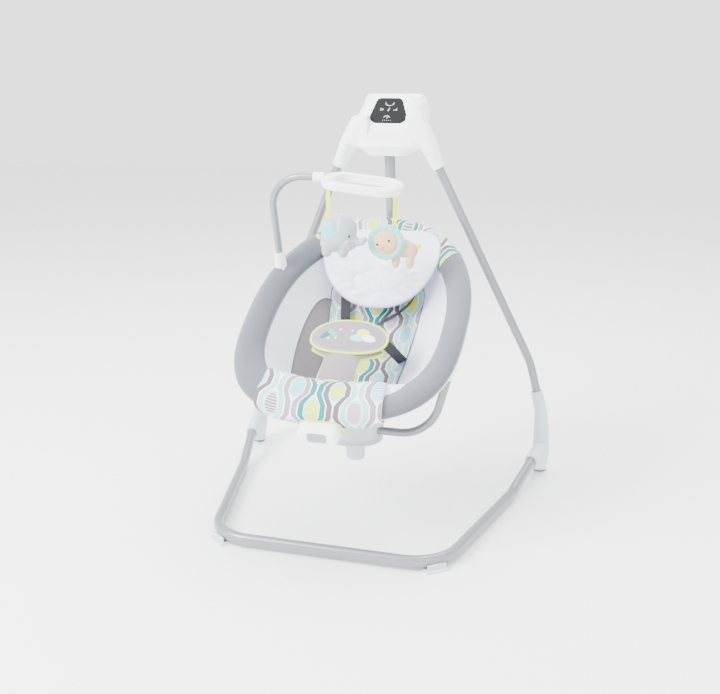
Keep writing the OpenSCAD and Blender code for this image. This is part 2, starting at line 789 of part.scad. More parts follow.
pin_d = 10;
boss_r = 21.2;
boss_in = boss_x - 33;
module side_connector() {
    down = unit(cradle_corner - cradle_end);
    mouth = cradle_end + down * 34;
    color(c_white) difference() {
        union() {
            translate([boss_in, hub_y, recline_z]) rotate([0, 90, 0])
                cylinder(r = boss_r, h = boss_x - boss_in - 4, $fn = fine);
            translate([boss_x - 4 - eps, hub_y, recline_z]) rotate([0, 90, 0])
                cylinder(r1 = boss_r, r2 = boss_r - 5, h = 4, $fn = fine);
            hull() {
                along(mouth, cradle_end) cylinder(d = cradle_d + 6, h = 4, $fn = 32);
                along(cradle_end - down * 2, cradle_end - down * 8)
                    cylinder(d = cradle_d + 10, h = 4, $fn = 32);
                translate([boss_in + 2, hub_y - 15, recline_z - 22]) cube([24, 30, 8]);
            }
        }
        along(mouth + down, cradle_end) cylinder(
            d = cradle_d + 2 * fit, h = 35 + fit, $fn = fine);
        translate([boss_in - 1, hub_y, recline_z]) rotate([0, 90, 0])
            cylinder(d = pin_d + 2 * run_fit, h = 25, $fn = fine);
    }
}
module side_connector_left() mirror([1, 0, 0]) side_connector();
module side_connector_right() side_connector();

// ---- Seat: everything below is drawn in the rim plane, x across, y up the back, z out of it
rim_v0 = -20;
up_power = 2.2;
down_power = 2.9;
pivot_v = -46;
seat_origin = [0, hub_y - pivot_v * cos(seat_tilt) - rim_rise * sin(seat_tilt),
    recline_z - pivot_v * sin(seat_tilt) + rim_rise * cos(seat_tilt)];
module in_seat() {
    translate(seat_origin) rotate([seat_tilt, 0, 0]) children();
}

// The rim's outline, drawn in by a distance, at an angle round it
function rim_at(t, inset) =
    let (
        up = sin(t) >= 0,
        p = 2 / (up ? up_power : down_power),
        a = seat_w / 2 - inset,
        b = (up ? seat_up : seat_down) - inset
    )
    [a * sign(cos(t)) * pow(abs(cos(t)), p), rim_v0 + b * sign(sin(t)) * pow(abs(sin(t)), p), 0];

// Half the width of the outline, drawn in by a distance, at a place v along it
function half_at(v, inset) =
    let (
        up = v >= rim_v0,
        p = up ? up_power : down_power,
        b = (up ? seat_up : seat_down) - inset,
        q = min(abs(v - rim_v0) / b, 1)
    )
    (seat_w / 2 - inset) * pow(1 - pow(q, p), 1 / p);

ring_in = rim_r;
ring_steps = 56;
module ring_tube() {
    color(c_tube) in_seat() difference() {
        roll([for (i = [0 : ring_steps - 1]) rim_at(i * 360 / ring_steps, ring_in)],
            ring_d / 2, 10, true);
        unit_room();
    }
}

// A lug under the ring carries the seat on each recline pin
lug_t = 4.5;
lug_x = boss_in - fit - lug_t;
pivot_local = [0, pivot_v, -rim_rise];
ring_x = half_at(pivot_v, ring_in);
lug_top = -ring_d / 2 - fit;
module recline_lug() {
    in_seat() {
        translate([lug_x, pivot_local.y, pivot_local.z]) rotate([0, 90, 0])
            cylinder(r = 16, h = lug_t, $fn = fine);
        translate([lug_x, pivot_local.y - 12, pivot_local.z])
            cube([lug_t, 24, lug_top + rim_rise]);
        translate([lug_x, pivot_local.y - 12, lug_top - 5]) cube([ring_x + 6 - lug_x, 24, 5]);
        translate([lug_x + lug_t / 2, pivot_local.y, pivot_local.z]) rotate([0, 90, 0])
            cylinder(d = pin_d, h = lug_t / 2 + fit + 22, $fn = fine);
    }
}
module lug_room() {
    translate([lug_x - 1, pivot_local.y - 13, lug_top - 40])
        cube([ring_x + 7 - lug_x + 1, 26, 41]);
}
module recline_lug_left() color(c_steel) mirror([1, 0, 0]) recline_lug();
module recline_lug_right() color(c_steel) recline_lug();

// The toy bar's socket stands on the ring at the left of the back
bar_v = 130;
socket_h = 40;
socket_r = bar_d / 2 + 7;
bar_foot_local = [-half_at(bar_v, ring_in), bar_v, ring_d / 2 + fit + 6];
function to_world(p) = [p.x,
    seat_origin.y + p.y * cos(seat_tilt) - p.z * sin(seat_tilt),
    seat_origin.z + p.y * sin(seat_tilt) + p.z * cos(seat_tilt)];
bar_foot = to_world(bar_foot_local);
bar_axis = unit([0, -0.29, 1]);
module toy_bar_socket() {
    color(c_white) difference() {
        union() {
            along(bar_foot, bar_foot + bar_axis) cylinder(
                r1 = socket_r, r2 = bar_d / 2 + 3.5, h = socket_h, $fn = fine);
            in_seat() translate([bar_foot_local.x - 13, bar_v - 16, ring_d / 2 + fit])
                cube([26, 32, 9]);
        }
        along(bar_foot + bar_axis * 7, bar_foot + bar_axis * 50) cylinder(
            d = bar_d + 2 * run_fit, h = socket_h, $fn = fine);
    }
}
module socket_room() {
    translate([bar_foot_local.x - 20, bar_v - 24, ring_d / 2 - 1]) cube([40, 48, 40]);
}

// The padded rim is a sleeve round the ring, open along its underside
rim_steps = 56;
rim_sides = 10;
gap_half = 14;
function sleeve_ring(i) =
    let (
        n = rim_steps,
        q = 360 / n,
        here = rim_at(i * q, ring_in),
        t = unit(rim_at((i + 1) * q, ring_in) - rim_at((i - 1) * q, ring_in)),
        s = [t.y, -t.x, 0],
        step = (360 - 2 * gap_half) / rim_sides
    )
    concat(
        [for (k = [0 : rim_sides]) let (a = -90 + gap_half + k * step)
            here + rim_r * (cos(a) * s + sin(a) * [0, 0, 1])],
        [for (k = [rim_sides : -1 : 0]) let (a = -90 + gap_half + k * step)
            here + (ring_d / 2 + 0.5) * (cos(a) * s + sin(a) * [0, 0, 1])]);
module sleeve() {
    m = 2 * (rim_sides + 1);
    polyhedron(
        points = [for (i = [0 : rim_steps - 1]) each sleeve_ring(i)],
        faces = [for (i = [0 : rim_steps - 1], k = [0 : m - 1])
            let (a = i * m, b = ((i + 1) % rim_steps) * m, q = (k + 1) % m)
            each [[a + k, b + k, b + q], [a + k, b + q, a + q]]],
        convexity = 12);
}
module rim_bolster() {
    color(c_velour) in_seat() difference() {
        sleeve();
        both() lug_room();
        socket_room();
        unit_room();
    }
}

// Depth of the bucket along its middle, and across it
function smooth(q) = let (c = max(0, min(1, q))) c * c * (3 - 2 * c);
bowl_in = 2 * rim_r + 2;
bowl_top = rim_v0 + seat_up - bowl_in - 4;
bowl_front = -200;
function mid_depth(v) =
    (bucket_depth - 18 * smooth(v / 160)) * smooth((v - bowl_front + 26) / 100)
        * (1 - smooth((v - 120) / (bowl_top + 24 - 120)) );
function bowl(s, v, lift) =
    [s * half_at(v, bowl_in), v,
        -6 - mid_depth(v) * (1 - pow(abs(s), 2.4)) + lift];
bowl_rows = 24;
bowl_cols = 16;
function bowl_grid(c0, c1, r0, r1, lift) =
    [for (i = [r0 : r1])
        let (v = bowl_front + i * (bowl_top - bowl_front) / bowl_rows)
        [for (j = [c0 : c1]) bowl(2 * j / bowl_cols - 1, v, lift)]];

module seat_bucket() {
    color(c_panelcloth) in_seat() difference() {
        sheet_solid(bowl_grid(0, bowl_cols, 0, bowl_rows, 0),
            bowl_grid(0, bowl_cols, 0, bowl_rows, -bucket_t));
        both() lug_room();
    }
}
module body_pad() {
    color(c_teal) in_seat() sheet_solid(
        bowl_grid(5, bowl_cols - 5, 1, bowl_rows - 5, fit + pad_t),
        bowl_grid(5, bowl_cols - 5, 1, bowl_rows - 5, fit));
}

// The footrest closes the front of the rim
foot_rows = 6;
foot_cols = 10;
foot_start = rim_v0 - seat_down + bowl_in + 6;
function foot_grid(lift) =
    [for (i = [0 : foot_rows])
        let (v = foot_start + i * (bowl_front - fit - foot_start) / foot_rows)
        [for (j = [0 : foot_cols])
            let (s = 2 * j / foot_cols - 1, w = min(footrest_w / 2, half_at(v, bowl_in)))
            [s * w, v, 8 - 40 * pow(i / foot_rows, 2) + lift - 4 * pow(s, 4)]]];
module footrest_pad() {
    color(c_teal) in_seat() sheet_solid(foot_grid(0), foot_grid(-16));
}

// ---- Vibration unit on the front edge of the footrest
unit_w = 92;
unit_h = 40;
unit_d = 48;
unit_c = [0, rim_v0 - seat_down - 27.8, -13];
unit_turn = -14;
module in_unit() {
    translate(unit_c) rotate([90 + unit_turn, 0, 0]) children();
}
module unit_outline(grow) {
    offset(15 + grow, $fn = 32) square([unit_w - 30, unit_h - 30], center = true);
}
module unit_room() {
    in_unit() translate([-unit_w / 2 - fit, -unit_h / 2 - fit, -unit_d / 2 - fit])
        cube([unit_w + 2 * fit, unit_h + 40, unit_d + 40]);
}
button_w = 42;
button_h = 22;
module button_outline(grow) {
    offset(6 + grow, $fn = 24) square([button_w - 12, button_h - 12], center = true);
}
module vibration_housing() {
    color(c_white) in_seat() in_unit() difference() {
        hull() {
            translate([0, 0, -unit_d / 2]) linear_extrude(unit_d - 7) unit_outline(0);
            translate([0, 0, unit_d / 2 - 1]) linear_extrude(1) unit_outline(-7);
        }
        translate([0, 0, unit_d / 2 - 4.5]) linear_extrude(10) button_outline(fit);
        translate([-22, -12, -unit_d / 2 + 3]) cube([44, 24, unit_d - 16]);
    }
}
module vibration_motor() {
    color(c_steel) in_seat() in_unit() translate([0, 0, -unit_d / 2 + 3 + 8.2])
        rotate([0, 90, 0]) {
            translate([0, 0, -14]) cylinder(d = 16, h = 26, $fn = 48);
            translate([0, 0, 12]) cylinder(d = 2, h = 3, $fn = 24);
            translate([3, 0, 14]) cylinder(d = 9, h = 4, $fn = 48);
        }
}
module vibration_button() {
    color("silver") in_seat() in_unit() translate([0, 0, unit_d / 2 - 2.6])
        linear_extrude(3.2) button_outline(0);
}

// ---- Headrest pillow: a rounded triangle that hangs across the top of the bucket
pillow_steps = 32;
pillow_v = seat_up - 172;
function pillow_r(t) =
    let (tri = 1 + 0.12 * sin(3 * t) )
    [148 * cos(t) * tri, 118 * sin(t) * tri];
function pillow_at(q, t, lift) =
    let (
        c = pillow_r(t),
        u = q * c[0],
        v = pillow_v + q * c[1]
    )
    [u, v, 4 - (pillow_v + 118 - v) * 0.40 + 34 * pow(u / 150, 2) + lift * (5 + 12 * (1 - q * q))];
module pillow_like(steps) {
    rings = [0.25, 0.5, 0.75, 0.92, 1];
    n = len(rings);
    polyhedron(
        points = concat(
            [pillow_at(0, 0, 1)],
            [for (q = rings, k = [0 : steps - 1]) pillow_at(q, k * 360 / steps, 1)],
            [pillow_at(0, 0, -1)],
            [for (q = rings, k = [0 : steps - 1]) pillow_at(q, k * 360 / steps, -1)]),
        faces = let (low = 1 + n * steps)
            concat(
                [for (k = [0 : steps - 1]) [0, 1 + (k + 1) % steps, 1 + k]],
                [for (i = [0 : n - 2], k = [0 : steps - 1])
                    let (a = 1 + i * steps, b = a + steps, m = (k + 1) % steps)
                    each [[a + k, a + m, b + m], [a + k, b + m, b + k]]],
                [for (k = [0 : steps - 1]) [low, low + 1 + k, low + 1 + (k + 1) % steps]],
                [for (i = [0 : n - 2], k = [0 : steps - 1])
                    let (a = low + 1 + i * steps, b = a + steps, m = (k + 1) % steps)
                    each [[a + k, b + m, a + m], [a + k, b + k, b + m]]],
                [for (k = [0 : steps - 1])
                    let (a = 1 + (n - 1) * steps, b = low + a, m = (k + 1) % steps)
                    each [[a + k, a + m, b + m], [a + k, b + m, b + k]]])
    );
}
module headrest_pillow() {
    color(c_panelcloth) in_seat() pillow_like(pillow_steps);
}

// ---- Harness
belly = [0, -74, 2];
module belly_pad() {
    color(c_velour) in_seat() translate(belly) hull() for (s = [-1, 1])
        translate([s * 52, 0, 0]) {
            translate([0, 0, -4]) cylinder(r = 40, h = 12, $fn = 32);
            translate([0, 0, -9]) cylinder(r = 34, h = 22, $fn = 32);
        }
}
module crotch_pad() {
    color(c_velour) in_seat() hull() {
        translate([-56, -92, -12.4]) rotate([0, 90, 0]) cylinder(r = 5, h = 112, $fn = soft_fn);
        translate([-46, -206, -19]) rotate([0, 90, 0]) cylinder(r = 5, h = 92, $fn = soft_fn);
    }
}
strap_w = 25;
strap_t = 1.8;
module webbing(a, b) {
    z = unit(b - a);
    x = unit(cross([0, 0, 1], z));
    frame_at(a, x, cross(z, x), z)
        translate([-strap_w / 2, -strap_t / 2, 0]) cube([strap_w, strap_t, norm(b - a)]);
}
module shoulder_straps() {
    color(c_webbing) in_seat() both() webbing([46, -42, -8.4], [50, 98, -139.7]);
}
module waist_straps() {
    color(c_webbing) in_seat() both() webbing([54, -60, -8], [160, -27, -94]);
}
buckle = [0, -66, -11.3];
module harness_buckle() {
    color(c_webbing) in_seat() translate(buckle) difference() {
        translate([-26, -16, -8]) cube([52, 32, 12]);
        translate([-9, -17, -5.6]) cube([18, 8, 6.6]);
    }
}
module buckle_release() {
    color("gray") in_seat() translate(buckle) translate([-8.6, -18.5, -5.2])
        cube([17.2, 7, 5.8]);
}

// ---- Toy bar
bar_top = bar_foot + bar_axis * bar_rise / bar_axis.z;
bar_tip = bar_top + [bar_reach, 0, 0];
module toy_bar_tube() {
    color(c_tube) round_tube([bar_foot + bar_axis * 7, bar_top, bar_tip],
        [0, bar_bend_r, 0], bar_d);
}
branch_len = 30;
loop_c = bar_tip + [loop_w / 2 + branch_len - 26, -6, -14];
module in_loop() {
    translate(loop_c) rotate([8, 0, 0]) rotate([0, 6, 0]) children();
}
module bar_branch() {
    color(c_white) difference() {
        translate(bar_tip - [22, 0, 0]) rotate([0, 90, 0])
            cylinder(d = bar_d + 6, h = 26, $fn = fine);
        translate(bar_tip - [23, 0, 0]) rotate([0, 90, 0])
            cylinder(d = bar_d + 2 * fit, h = 23 + fit, $fn = fine);
    }
}
module loop_outline(w, d) {
    offset(d / 2 - 8, $fn = fine) square([w - d + 16, 16], center = true);
}
module toy_ring() {
    color(c_white) difference() {
        in_loop() difference() {
            translate([0, 0, -loop_t / 2]) hull() {
                translate([0, 0, 3]) linear_extrude(loop_t - 6) loop_outline(loop_w, loop_d);
                linear_extrude(loop_t) loop_outline(loop_w - 6, loop_d - 6);
            }
            translate([0, 0, -loop_t]) linear_extrude(2 * loop_t)
                loop_outline(loop_w - 2 * loop_t - 14, loop_d - 2 * loop_t + 2);
        }
        translate(bar_tip - [23, 0, 0]) rotate([0, 90, 0])
            cylinder(d = bar_d + 6 + 2 * fit, h = 27 + fit, $fn = fine);
    }
}
left_hook = [-loop_w / 2 + 24, -loop_d / 2 + 22, 0];
right_hook = [loop_w / 2 - 15, 0, 0];
module strap_buttons() {
    color(c_lime) in_loop() for (p = [left_hook, right_hook])
        translate(p + [0, 0, loop_t / 2 + fit]) cylinder(d1 = 14, d2 = 12, h = 2.4, $fn = 48);
}
function loop_world(p) =
    let (
        q = [p.x * cos(6) + p.z * sin(6), p.y, -p.x * sin(6) + p.z * cos(6)],
        w = [q.x, q.y * cos(8) - q.z * sin(8), q.y * sin(8) + q.z * cos(8)]
    )
    loop_c + w;
strap_head = 4;
function hang(hook) = loop_world(hook - [0, 0, loop_t / 2]) - [0, 0, strap_head / 2 + 1];
module toy_strap(hook, len) {
    p = hang(hook);
    color(c_lime) {
        translate(p - [5, 0, 0]) rotate([0, 90, 0]) cylinder(d = strap_head, h = 10, $fn = 32);
        translate([p.x - 5, p.y - 1, p.z - len]) cube([10, 2, len]);
    }
}
left_toy = hang(left_hook) - [0, 0, strap_len + fit];
right_toy = hang(right_hook) - [0, 0, strap_len + fit];
module elephant_strap() toy_strap(left_hook, strap_len);
module lion_strap() toy_strap(right_hook, strap_len);
module elephant_toy() {
    color([0.86, 0.87, 0.88]) translate(left_toy) {
        hull() {
            translate([8, 0, -30]) sphere(r = 27, $fn = soft_fn);
            translate([-22, 0, -38]) sphere(r = 24, $fn = soft_fn);
            translate([0, 0, -6]) sphere(r = 6, $fn = soft_fn);
        }
        hull() {
            translate([30, 0, -40]) sphere(r = 12, $fn = soft_fn);
            translate([50, 0, -42]) sphere(r = 7, $fn = soft_fn);
        }
        for (x = [-32, 8]) hull() {
            translate([x, 0, -56]) sphere(r = 14, $fn = soft_fn);
            translate([x - 2, 0, -78]) sphere(r = 10, $fn = soft_fn);
        }
    }
}
module lion_toy() {
    color([0.88, 0.80, 0.73]) translate(right_toy) {
        translate([-4, -4, -46]) rotate([78, 0, 0]) cylinder(r = 46, h = 30, center = true,
            $fn = 40);
        hull() {
            translate([4, 12, -58]) sphere(r = 22, $fn = soft_fn);
            translate([42, 12, -62]) sphere(r = 19, $fn = soft_fn);
        }
        for (x = [4, 48]) hull() {
            translate([x, 12, -70]) sphere(r = 12, $fn = soft_fn);
            translate([x, 12, -96]) sphere(r = 9, $fn = soft_fn);
        }
    }
}

base_tube();
leg_tube_left();
leg_tube_right();
boot_left();
boot_right();
sole_pads();
front_foot_left();
front_foot_right();
leg_lock_pins();
head_front();
head_rear();
control_panel();
circuit_board();
battery_door();
battery_tray();
battery_cells();
drive_coil();
swing_axle();
axle_bearings();
head_screws();
arm_hanger();
drive_magnet();
swing_arm();
hub_base();
release_knob();
hub_bell();
hub_cap();
hub_screws();
cradle_tube_left();
cradle_tube_right();
side_connector_left();
side_connector_right();
ring_tube();
recline_lug_left();
recline_lug_right();
rim_bolster();
seat_bucket();
body_pad();
footrest_pad();
vibration_housing();
vibration_motor();
vibration_button();
headrest_pillow();
belly_pad();
crotch_pad();
shoulder_straps();
waist_straps();
harness_buckle();
buckle_release();
toy_bar_socket();
toy_bar_tube();
bar_branch();
toy_ring();
strap_buttons();
elephant_strap();
elephant_toy();
lion_strap();
lion_toy();
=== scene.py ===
"""Baby swing: finishes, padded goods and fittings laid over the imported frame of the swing.

Every length is in metres in the frame of the swing: +Z is up, the footrest points to -Y
and the floor is z = 0. Pieces of the seat are worked out in the plane of its rim, where u
runs across, v runs up the back and n stands out of the plane, in millimetres.
"""

from __future__ import annotations

import json
import logging
import math
from dataclasses import dataclass, field
from enum import Enum
from typing import Callable, Iterable, Sequence

import bmesh
import bpy
from mathutils import Matrix, Vector, noise

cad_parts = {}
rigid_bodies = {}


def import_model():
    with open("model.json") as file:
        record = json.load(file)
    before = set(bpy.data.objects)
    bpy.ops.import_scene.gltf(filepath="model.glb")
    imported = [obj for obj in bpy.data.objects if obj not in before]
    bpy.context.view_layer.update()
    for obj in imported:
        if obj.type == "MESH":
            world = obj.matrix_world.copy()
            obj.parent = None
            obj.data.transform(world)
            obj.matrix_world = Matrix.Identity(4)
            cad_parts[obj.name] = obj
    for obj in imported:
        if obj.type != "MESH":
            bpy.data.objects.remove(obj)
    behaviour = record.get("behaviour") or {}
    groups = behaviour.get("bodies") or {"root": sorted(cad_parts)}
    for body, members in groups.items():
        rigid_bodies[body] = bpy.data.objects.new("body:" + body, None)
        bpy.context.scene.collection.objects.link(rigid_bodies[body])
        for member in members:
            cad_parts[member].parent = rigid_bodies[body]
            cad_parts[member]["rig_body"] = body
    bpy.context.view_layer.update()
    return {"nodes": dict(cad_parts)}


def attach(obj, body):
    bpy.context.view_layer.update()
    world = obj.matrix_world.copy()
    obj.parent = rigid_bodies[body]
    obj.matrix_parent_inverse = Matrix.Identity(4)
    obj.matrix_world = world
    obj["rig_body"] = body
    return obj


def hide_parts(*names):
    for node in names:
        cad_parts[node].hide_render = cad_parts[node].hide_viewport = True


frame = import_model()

LOG = logging.getLogger("swing")
MM = 0.001
SIDES = ((-1, "left"), (1, "right"))
# Threads a metre in the seat's knits.
THREADS = 900.0
# Corners of a moulding nearer than this, in metres, are one, and faces flatter are joined.
MERGE_GAP = 0.00002
FLAT_ANGLE = math.radians(1.0)
# How finely a cord is rounded, and how much of its step half a stitch fills.
CORD_FACETS = 3
STITCH_SHARE = 0.34
# The length of a strap's faces, in metres.
RIBBON_STEP = 0.004


def hex_colour(code: str) -> tuple[float, float, float, float]:
    """Turn an sRGB hex code into a linear colour.

    Args:
        code: Six hex digits, such as "DDE48F".

    Returns:
        The linear red, green, blue and alpha.
    """
    parts = [int(code[i : i + 2], 16) / 255 for i in (0, 2, 4)]
    linear = [c / 12.92 if c <= 0.04045 else ((c + 0.055) / 1.055) ** 2.4 for c in parts]
    return (linear[0], linear[1], linear[2], 1.0)


def smooth_step(q: float) -> float:
    """Ease from 0 to 1 as q goes from 0 to 1."""
    c = max(0.0, min(1.0, q))
    return c * c * (3 - 2 * c)


def squared(value: float, power: float) -> float:
    """Raise a value's size to a power and keep its sign, to square off a round outline."""
    return math.copysign(abs(value) ** power, value)


def shares(count: int, closed: bool = False) -> list[float]:
    """Evenly spaced shares from 0 to 1, without the last where a line is closed."""
    return [i / count for i in range(count if closed else count + 1)]


@dataclass(frozen=True)
class Folds:
    """The soft folds of a cloth: lumps a millimetre each way, a seed, and a height."""

    across: float
    along: float
    seed: float
    height: float

    def at(self, u: float, v: float) -> float:
        """How far the cloth stands out, in millimetres, at a place on it."""
        return noise.noise(Vector((u * self.across, v * self.along, self.seed))) * self.height


# ---------------------------------------------------------------- shader expressions


class Sock:
    """One output socket of a material, which takes part in written expressions."""

    def __init__(self, shader: "Shader", socket: bpy.types.NodeSocket) -> None:
        """Keep the socket and the shader that it belongs to."""
        self.shader = shader
        self.socket = socket

    def op(self, name: str, *others: "Sock | float") -> "Sock":
        """Apply one Math operation to this value and the others."""
        values = dict(enumerate((self, *others)))
        return self.shader.node("ShaderNodeMath", {"operation": name}, values)

    def __add__(self, other: "Sock | float") -> "Sock":
        """Add."""
        return self.op("ADD", other)

    def __radd__(self, other: float) -> "Sock":
        """Add, reflected."""
        return self.op("ADD", other)

    def __sub__(self, other: "Sock | float") -> "Sock":
        """Subtract."""
        return self.op("SUBTRACT", other)

    def __rsub__(self, other: float) -> "Sock":
        """Subtract this value from a number."""
        return (self * -1.0).op("ADD", other)

    def __mul__(self, other: "Sock | float") -> "Sock":
        """Multiply."""
        return self.op("MULTIPLY", other)

    def __rmul__(self, other: float) -> "Sock":
        """Multiply, reflected."""
        return self.op("MULTIPLY", other)

    def __truediv__(self, other: "Sock | float") -> "Sock":
        """Divide."""
        return self.op("DIVIDE", other)

    def __gt__(self, other: "Sock | float") -> "Sock":
        """Give 1 where this value is the greater."""
        return self.op("GREATER_THAN", other)

    def __lt__(self, other: "Sock | float") -> "Sock":
        """Give 1 where this value is the lesser."""
        return self.op("LESS_THAN", other)

    def soft(self, low: float, high: float) -> "Sock":
        """Rise from 0 to 1 between two values, eased at both ends."""
        settings = {"interpolation_type": "SMOOTHSTEP"}
        return self.shader.node("ShaderNodeMapRange", settings, {0: self, 1: low, 2: high})


class Shader:
    """A material under construction."""

    def __init__(self, name: str) -> None:
        """Start an empty node material.

        Args:
            name: The material's name.
        """
        self.material = bpy.data.materials.new(name)
        self.material.use_nodes = True
        self.tree = self.material.node_tree
        self.tree.nodes.clear()
        self.coords = self.tree.nodes.new("ShaderNodeTexCoord")

    def node(
        self,
        kind: str,
        settings: dict[str, object] | None = None,
        values: dict[int | str, object] | None = None,
        out: int | str = 0,
    ) -> Sock:
        """Add a node.

        Args:
            kind: The node's type.
            settings: Its settings, set first; "stops" holds a ramp's colours.
            values: Its sockets' numbers, colours or links.
            out: The output that is returned.

        Returns:
            The node's output.
        """
        made = self.tree.nodes.new(kind)
        for key, value in (settings or {}).items():
            if key == "stops":
                self._stops(made, value)
            else:
                setattr(made, key, value)
        for key, value in (values or {}).items():
            if isinstance(value, Sock):
                self.tree.links.new(value.socket, made.inputs[key])
            else:
                made.inputs[key].default_value = value
        return Sock(self, made.outputs[out])

    def _stops(self, made: bpy.types.Node, stops: Sequence[tuple[float, Sequence[float]]]) -> None:
        """Give a ramp its stops, with hard steps between them.

        Args:
            made: The ramp's node.
            stops: Each stop's place from 0 to 1, and its colour.
        """
        ramp = made.color_ramp
        ramp.interpolation = "CONSTANT"
        while len(ramp.elements) < len(stops):
            ramp.elements.new(0.5)
        for element, (place, colour) in zip(ramp.elements, stops):
            element.position = place
            element.color = colour

    def place(self) -> Sock:
        """The point's place on the piece, in metres."""
        return Sock(self, self.coords.outputs["Object"])

    def chart(self) -> tuple[Sock, Sock]:
        """Read the piece's own chart of its surface.

        Returns:
            The places across and along, in metres.
        """
        split = self.tree.nodes.new("ShaderNodeSeparateXYZ")
        self.tree.links.new(self.coords.outputs["UV"], split.inputs[0])
        return Sock(self, split.outputs[0]), Sock(self, split.outputs[1])

    def grain(self, scale: float, detail: float = 2.0) -> Sock:
        """Noise from 0 to 1 with scale lumps a metre."""
        values = {"Vector": self.place(), "Scale": scale, "Detail": detail}
        return self.node("ShaderNodeTexNoise", {}, values)

    def weave(self, u: Sock, v: Sock, threads: float = THREADS) -> Sock:
        """Cross the rows and wales of a cloth.

        Args:
            u: The chart's place across.
            v: The chart's place along.
            threads: Threads a metre.

        Returns:
            The height of the threads, from 0.25 to 0.75.
        """
        rows = (u * threads * math.tau).op("SINE")
        wales = (v * threads * math.tau).op("SINE")
        return rows * wales * 0.25 + 0.5

    def mix(self, share: Sock | float, low: object, high: object) -> Sock:
        """Blend two colours."""
        settings = {"data_type": "RGBA"}
        return self.node("ShaderNodeMix", settings, {0: share, 6: low, 7: high}, 2)

    def tint(self, colour: Sock | Sequence[float], lift: Sock | float) -> Sock:
        """Scale a colour's brightness.

        Args:
            colour: The colour.
            lift: The scale, near 1.

        Returns:
            The scaled colour.
        """
        scale = {"operation": "SCALE"}
        values = {0: colour[:3] if isinstance(colour, tuple) else colour, "Scale": lift}
        return self.node("ShaderNodeVectorMath", scale, values)

    def finish(
        self,
        colour: Sock,
        rough: Sock | float,
        relief: Sock,
        depth: float,
        constants: dict[str, object] | None = None,
    ) -> bpy.types.Material:
        """Join the colour, roughness and relief to the surface.

        Args:
            colour: The base colour.
            rough: The roughness.
            relief: The height of the surface's texture, from 0 to 1.
            depth: How deep the texture is, in metres.
            constants: Numbers and colours that are the same all over.

        Returns:
            The finished material.
        """
        bump = self.node(
            "ShaderNodeBump", {}, {"Height": relief, "Strength": 1.0, "Distance": depth}
        )
        values: dict[int | str, object] = {
            "Base Color": colour,
            "Roughness": rough,
            "Normal": bump,
        }
        values.update(constants or {})
        surface = self.node("ShaderNodeBsdfPrincipled", {}, values)
        out = self.tree.nodes.new("ShaderNodeOutputMaterial")
        self.tree.links.new(surface.socket, out.inputs[0])
        return self.material

    def knitted(
        self, colour: Sock, weave: Sock, relief: Sock, depth: float, sheen: float = 0.18
    ) -> bpy.types.Material:
        """Finish a cloth with a soft sheen and a roughness that follows its threads."""
        fixed = {"Sheen Weight": sheen, "Sheen Roughness": 0.5, "Specular IOR Level": 0.2}
        return self.finish(colour, weave * 0.06 + 0.8, relief, depth, fixed)


# ---------------------------------------------------------------- finishes


@dataclass(frozen=True)
class Moulded:
    """Moulded plastic with a fine grain and faint handling marks."""

    name: str
    colour: str
    rough: float = 0.38
    grain: float = 2200.0
    depth: float = 0.00003
    coat: float = 0.0
    shine: float = 0.4
    marks: float = 9.0

    def material(self) -> bpy.types.Material:
        """Build the plastic.

        Returns:
            The material.
        """
        s = Shader(self.name)
        cloud = s.grain(self.marks, 3.0)
        speck = s.grain(self.grain, 1.0)
        colour = s.tint(hex_colour(self.colour), cloud * 0.06 + 0.97)
        rough = cloud * 0.12 + speck * 0.06 + (self.rough - 0.09)
        fixed = {
            "Coat Weight": self.coat,
            "Coat Roughness": 0.12,
            "IOR": 1.47,
            "Specular IOR Level": self.shine,
        }
        return s.finish(colour, rough, speck, self.depth, fixed)


@dataclass(frozen=True)
class Painted:
    """Powder-coated or bare metal, with the slight orange peel of its coat."""

    name: str
    colour: str
    rough: float = 0.33
    metal: float = 0.35
    peel: float = 420.0
    depth: float = 0.00005
    marks: float = 6.0

    def material(self) -> bpy.types.Material:
        """Build the coated metal.

        Returns:
            The material.
        """
        s = Shader(self.name)
        peel = s.grain(self.peel, 2.0)
        cloud = s.grain(self.marks, 2.0)
        colour = s.tint(hex_colour(self.colour), cloud * 0.07 + 0.965)
        rough = cloud * 0.10 + peel * 0.05 + (self.rough - 0.07)
        fixed = {"Metallic": self.metal, "Coat Weight": 0.25, "Coat Roughness": 0.2}
        return s.finish(colour, rough, peel, self.depth, fixed)


@dataclass(frozen=True)
class Pile:
    """Short-pile velour or plush, with brushed patches that catch the light."""

    name: str
    colour: str
    patch: float = 34.0
    pile: float = 1500.0
    depth: float = 0.0005
    sheen: float = 0.45
    contrast: float = 0.16

    def material(self) -> bpy.types.Material:
        """Build the pile fabric.

        Returns:
            The material.
        """
        s = Shader(self.name)
        fibre = s.grain(self.pile, 3.0)
        brushed = s.grain(self.patch, 4.0)
        lift = fibre * self.contrast + brushed * 0.10 + (0.95 - self.contrast / 2)
        colour = s.tint(hex_colour(self.colour), lift)
        rough = brushed * 0.1 + 0.82
        relief = fibre * 0.7 + brushed * 0.3
        fixed = {
            "Sheen Weight": self.sheen,
            "Sheen Roughness": 0.45,
            "Sheen Tint": hex_colour("FFFFFF"),
            "Specular IOR Level": 0.2,
        }
        return s.finish(colour, rough, relief, self.depth, fixed)


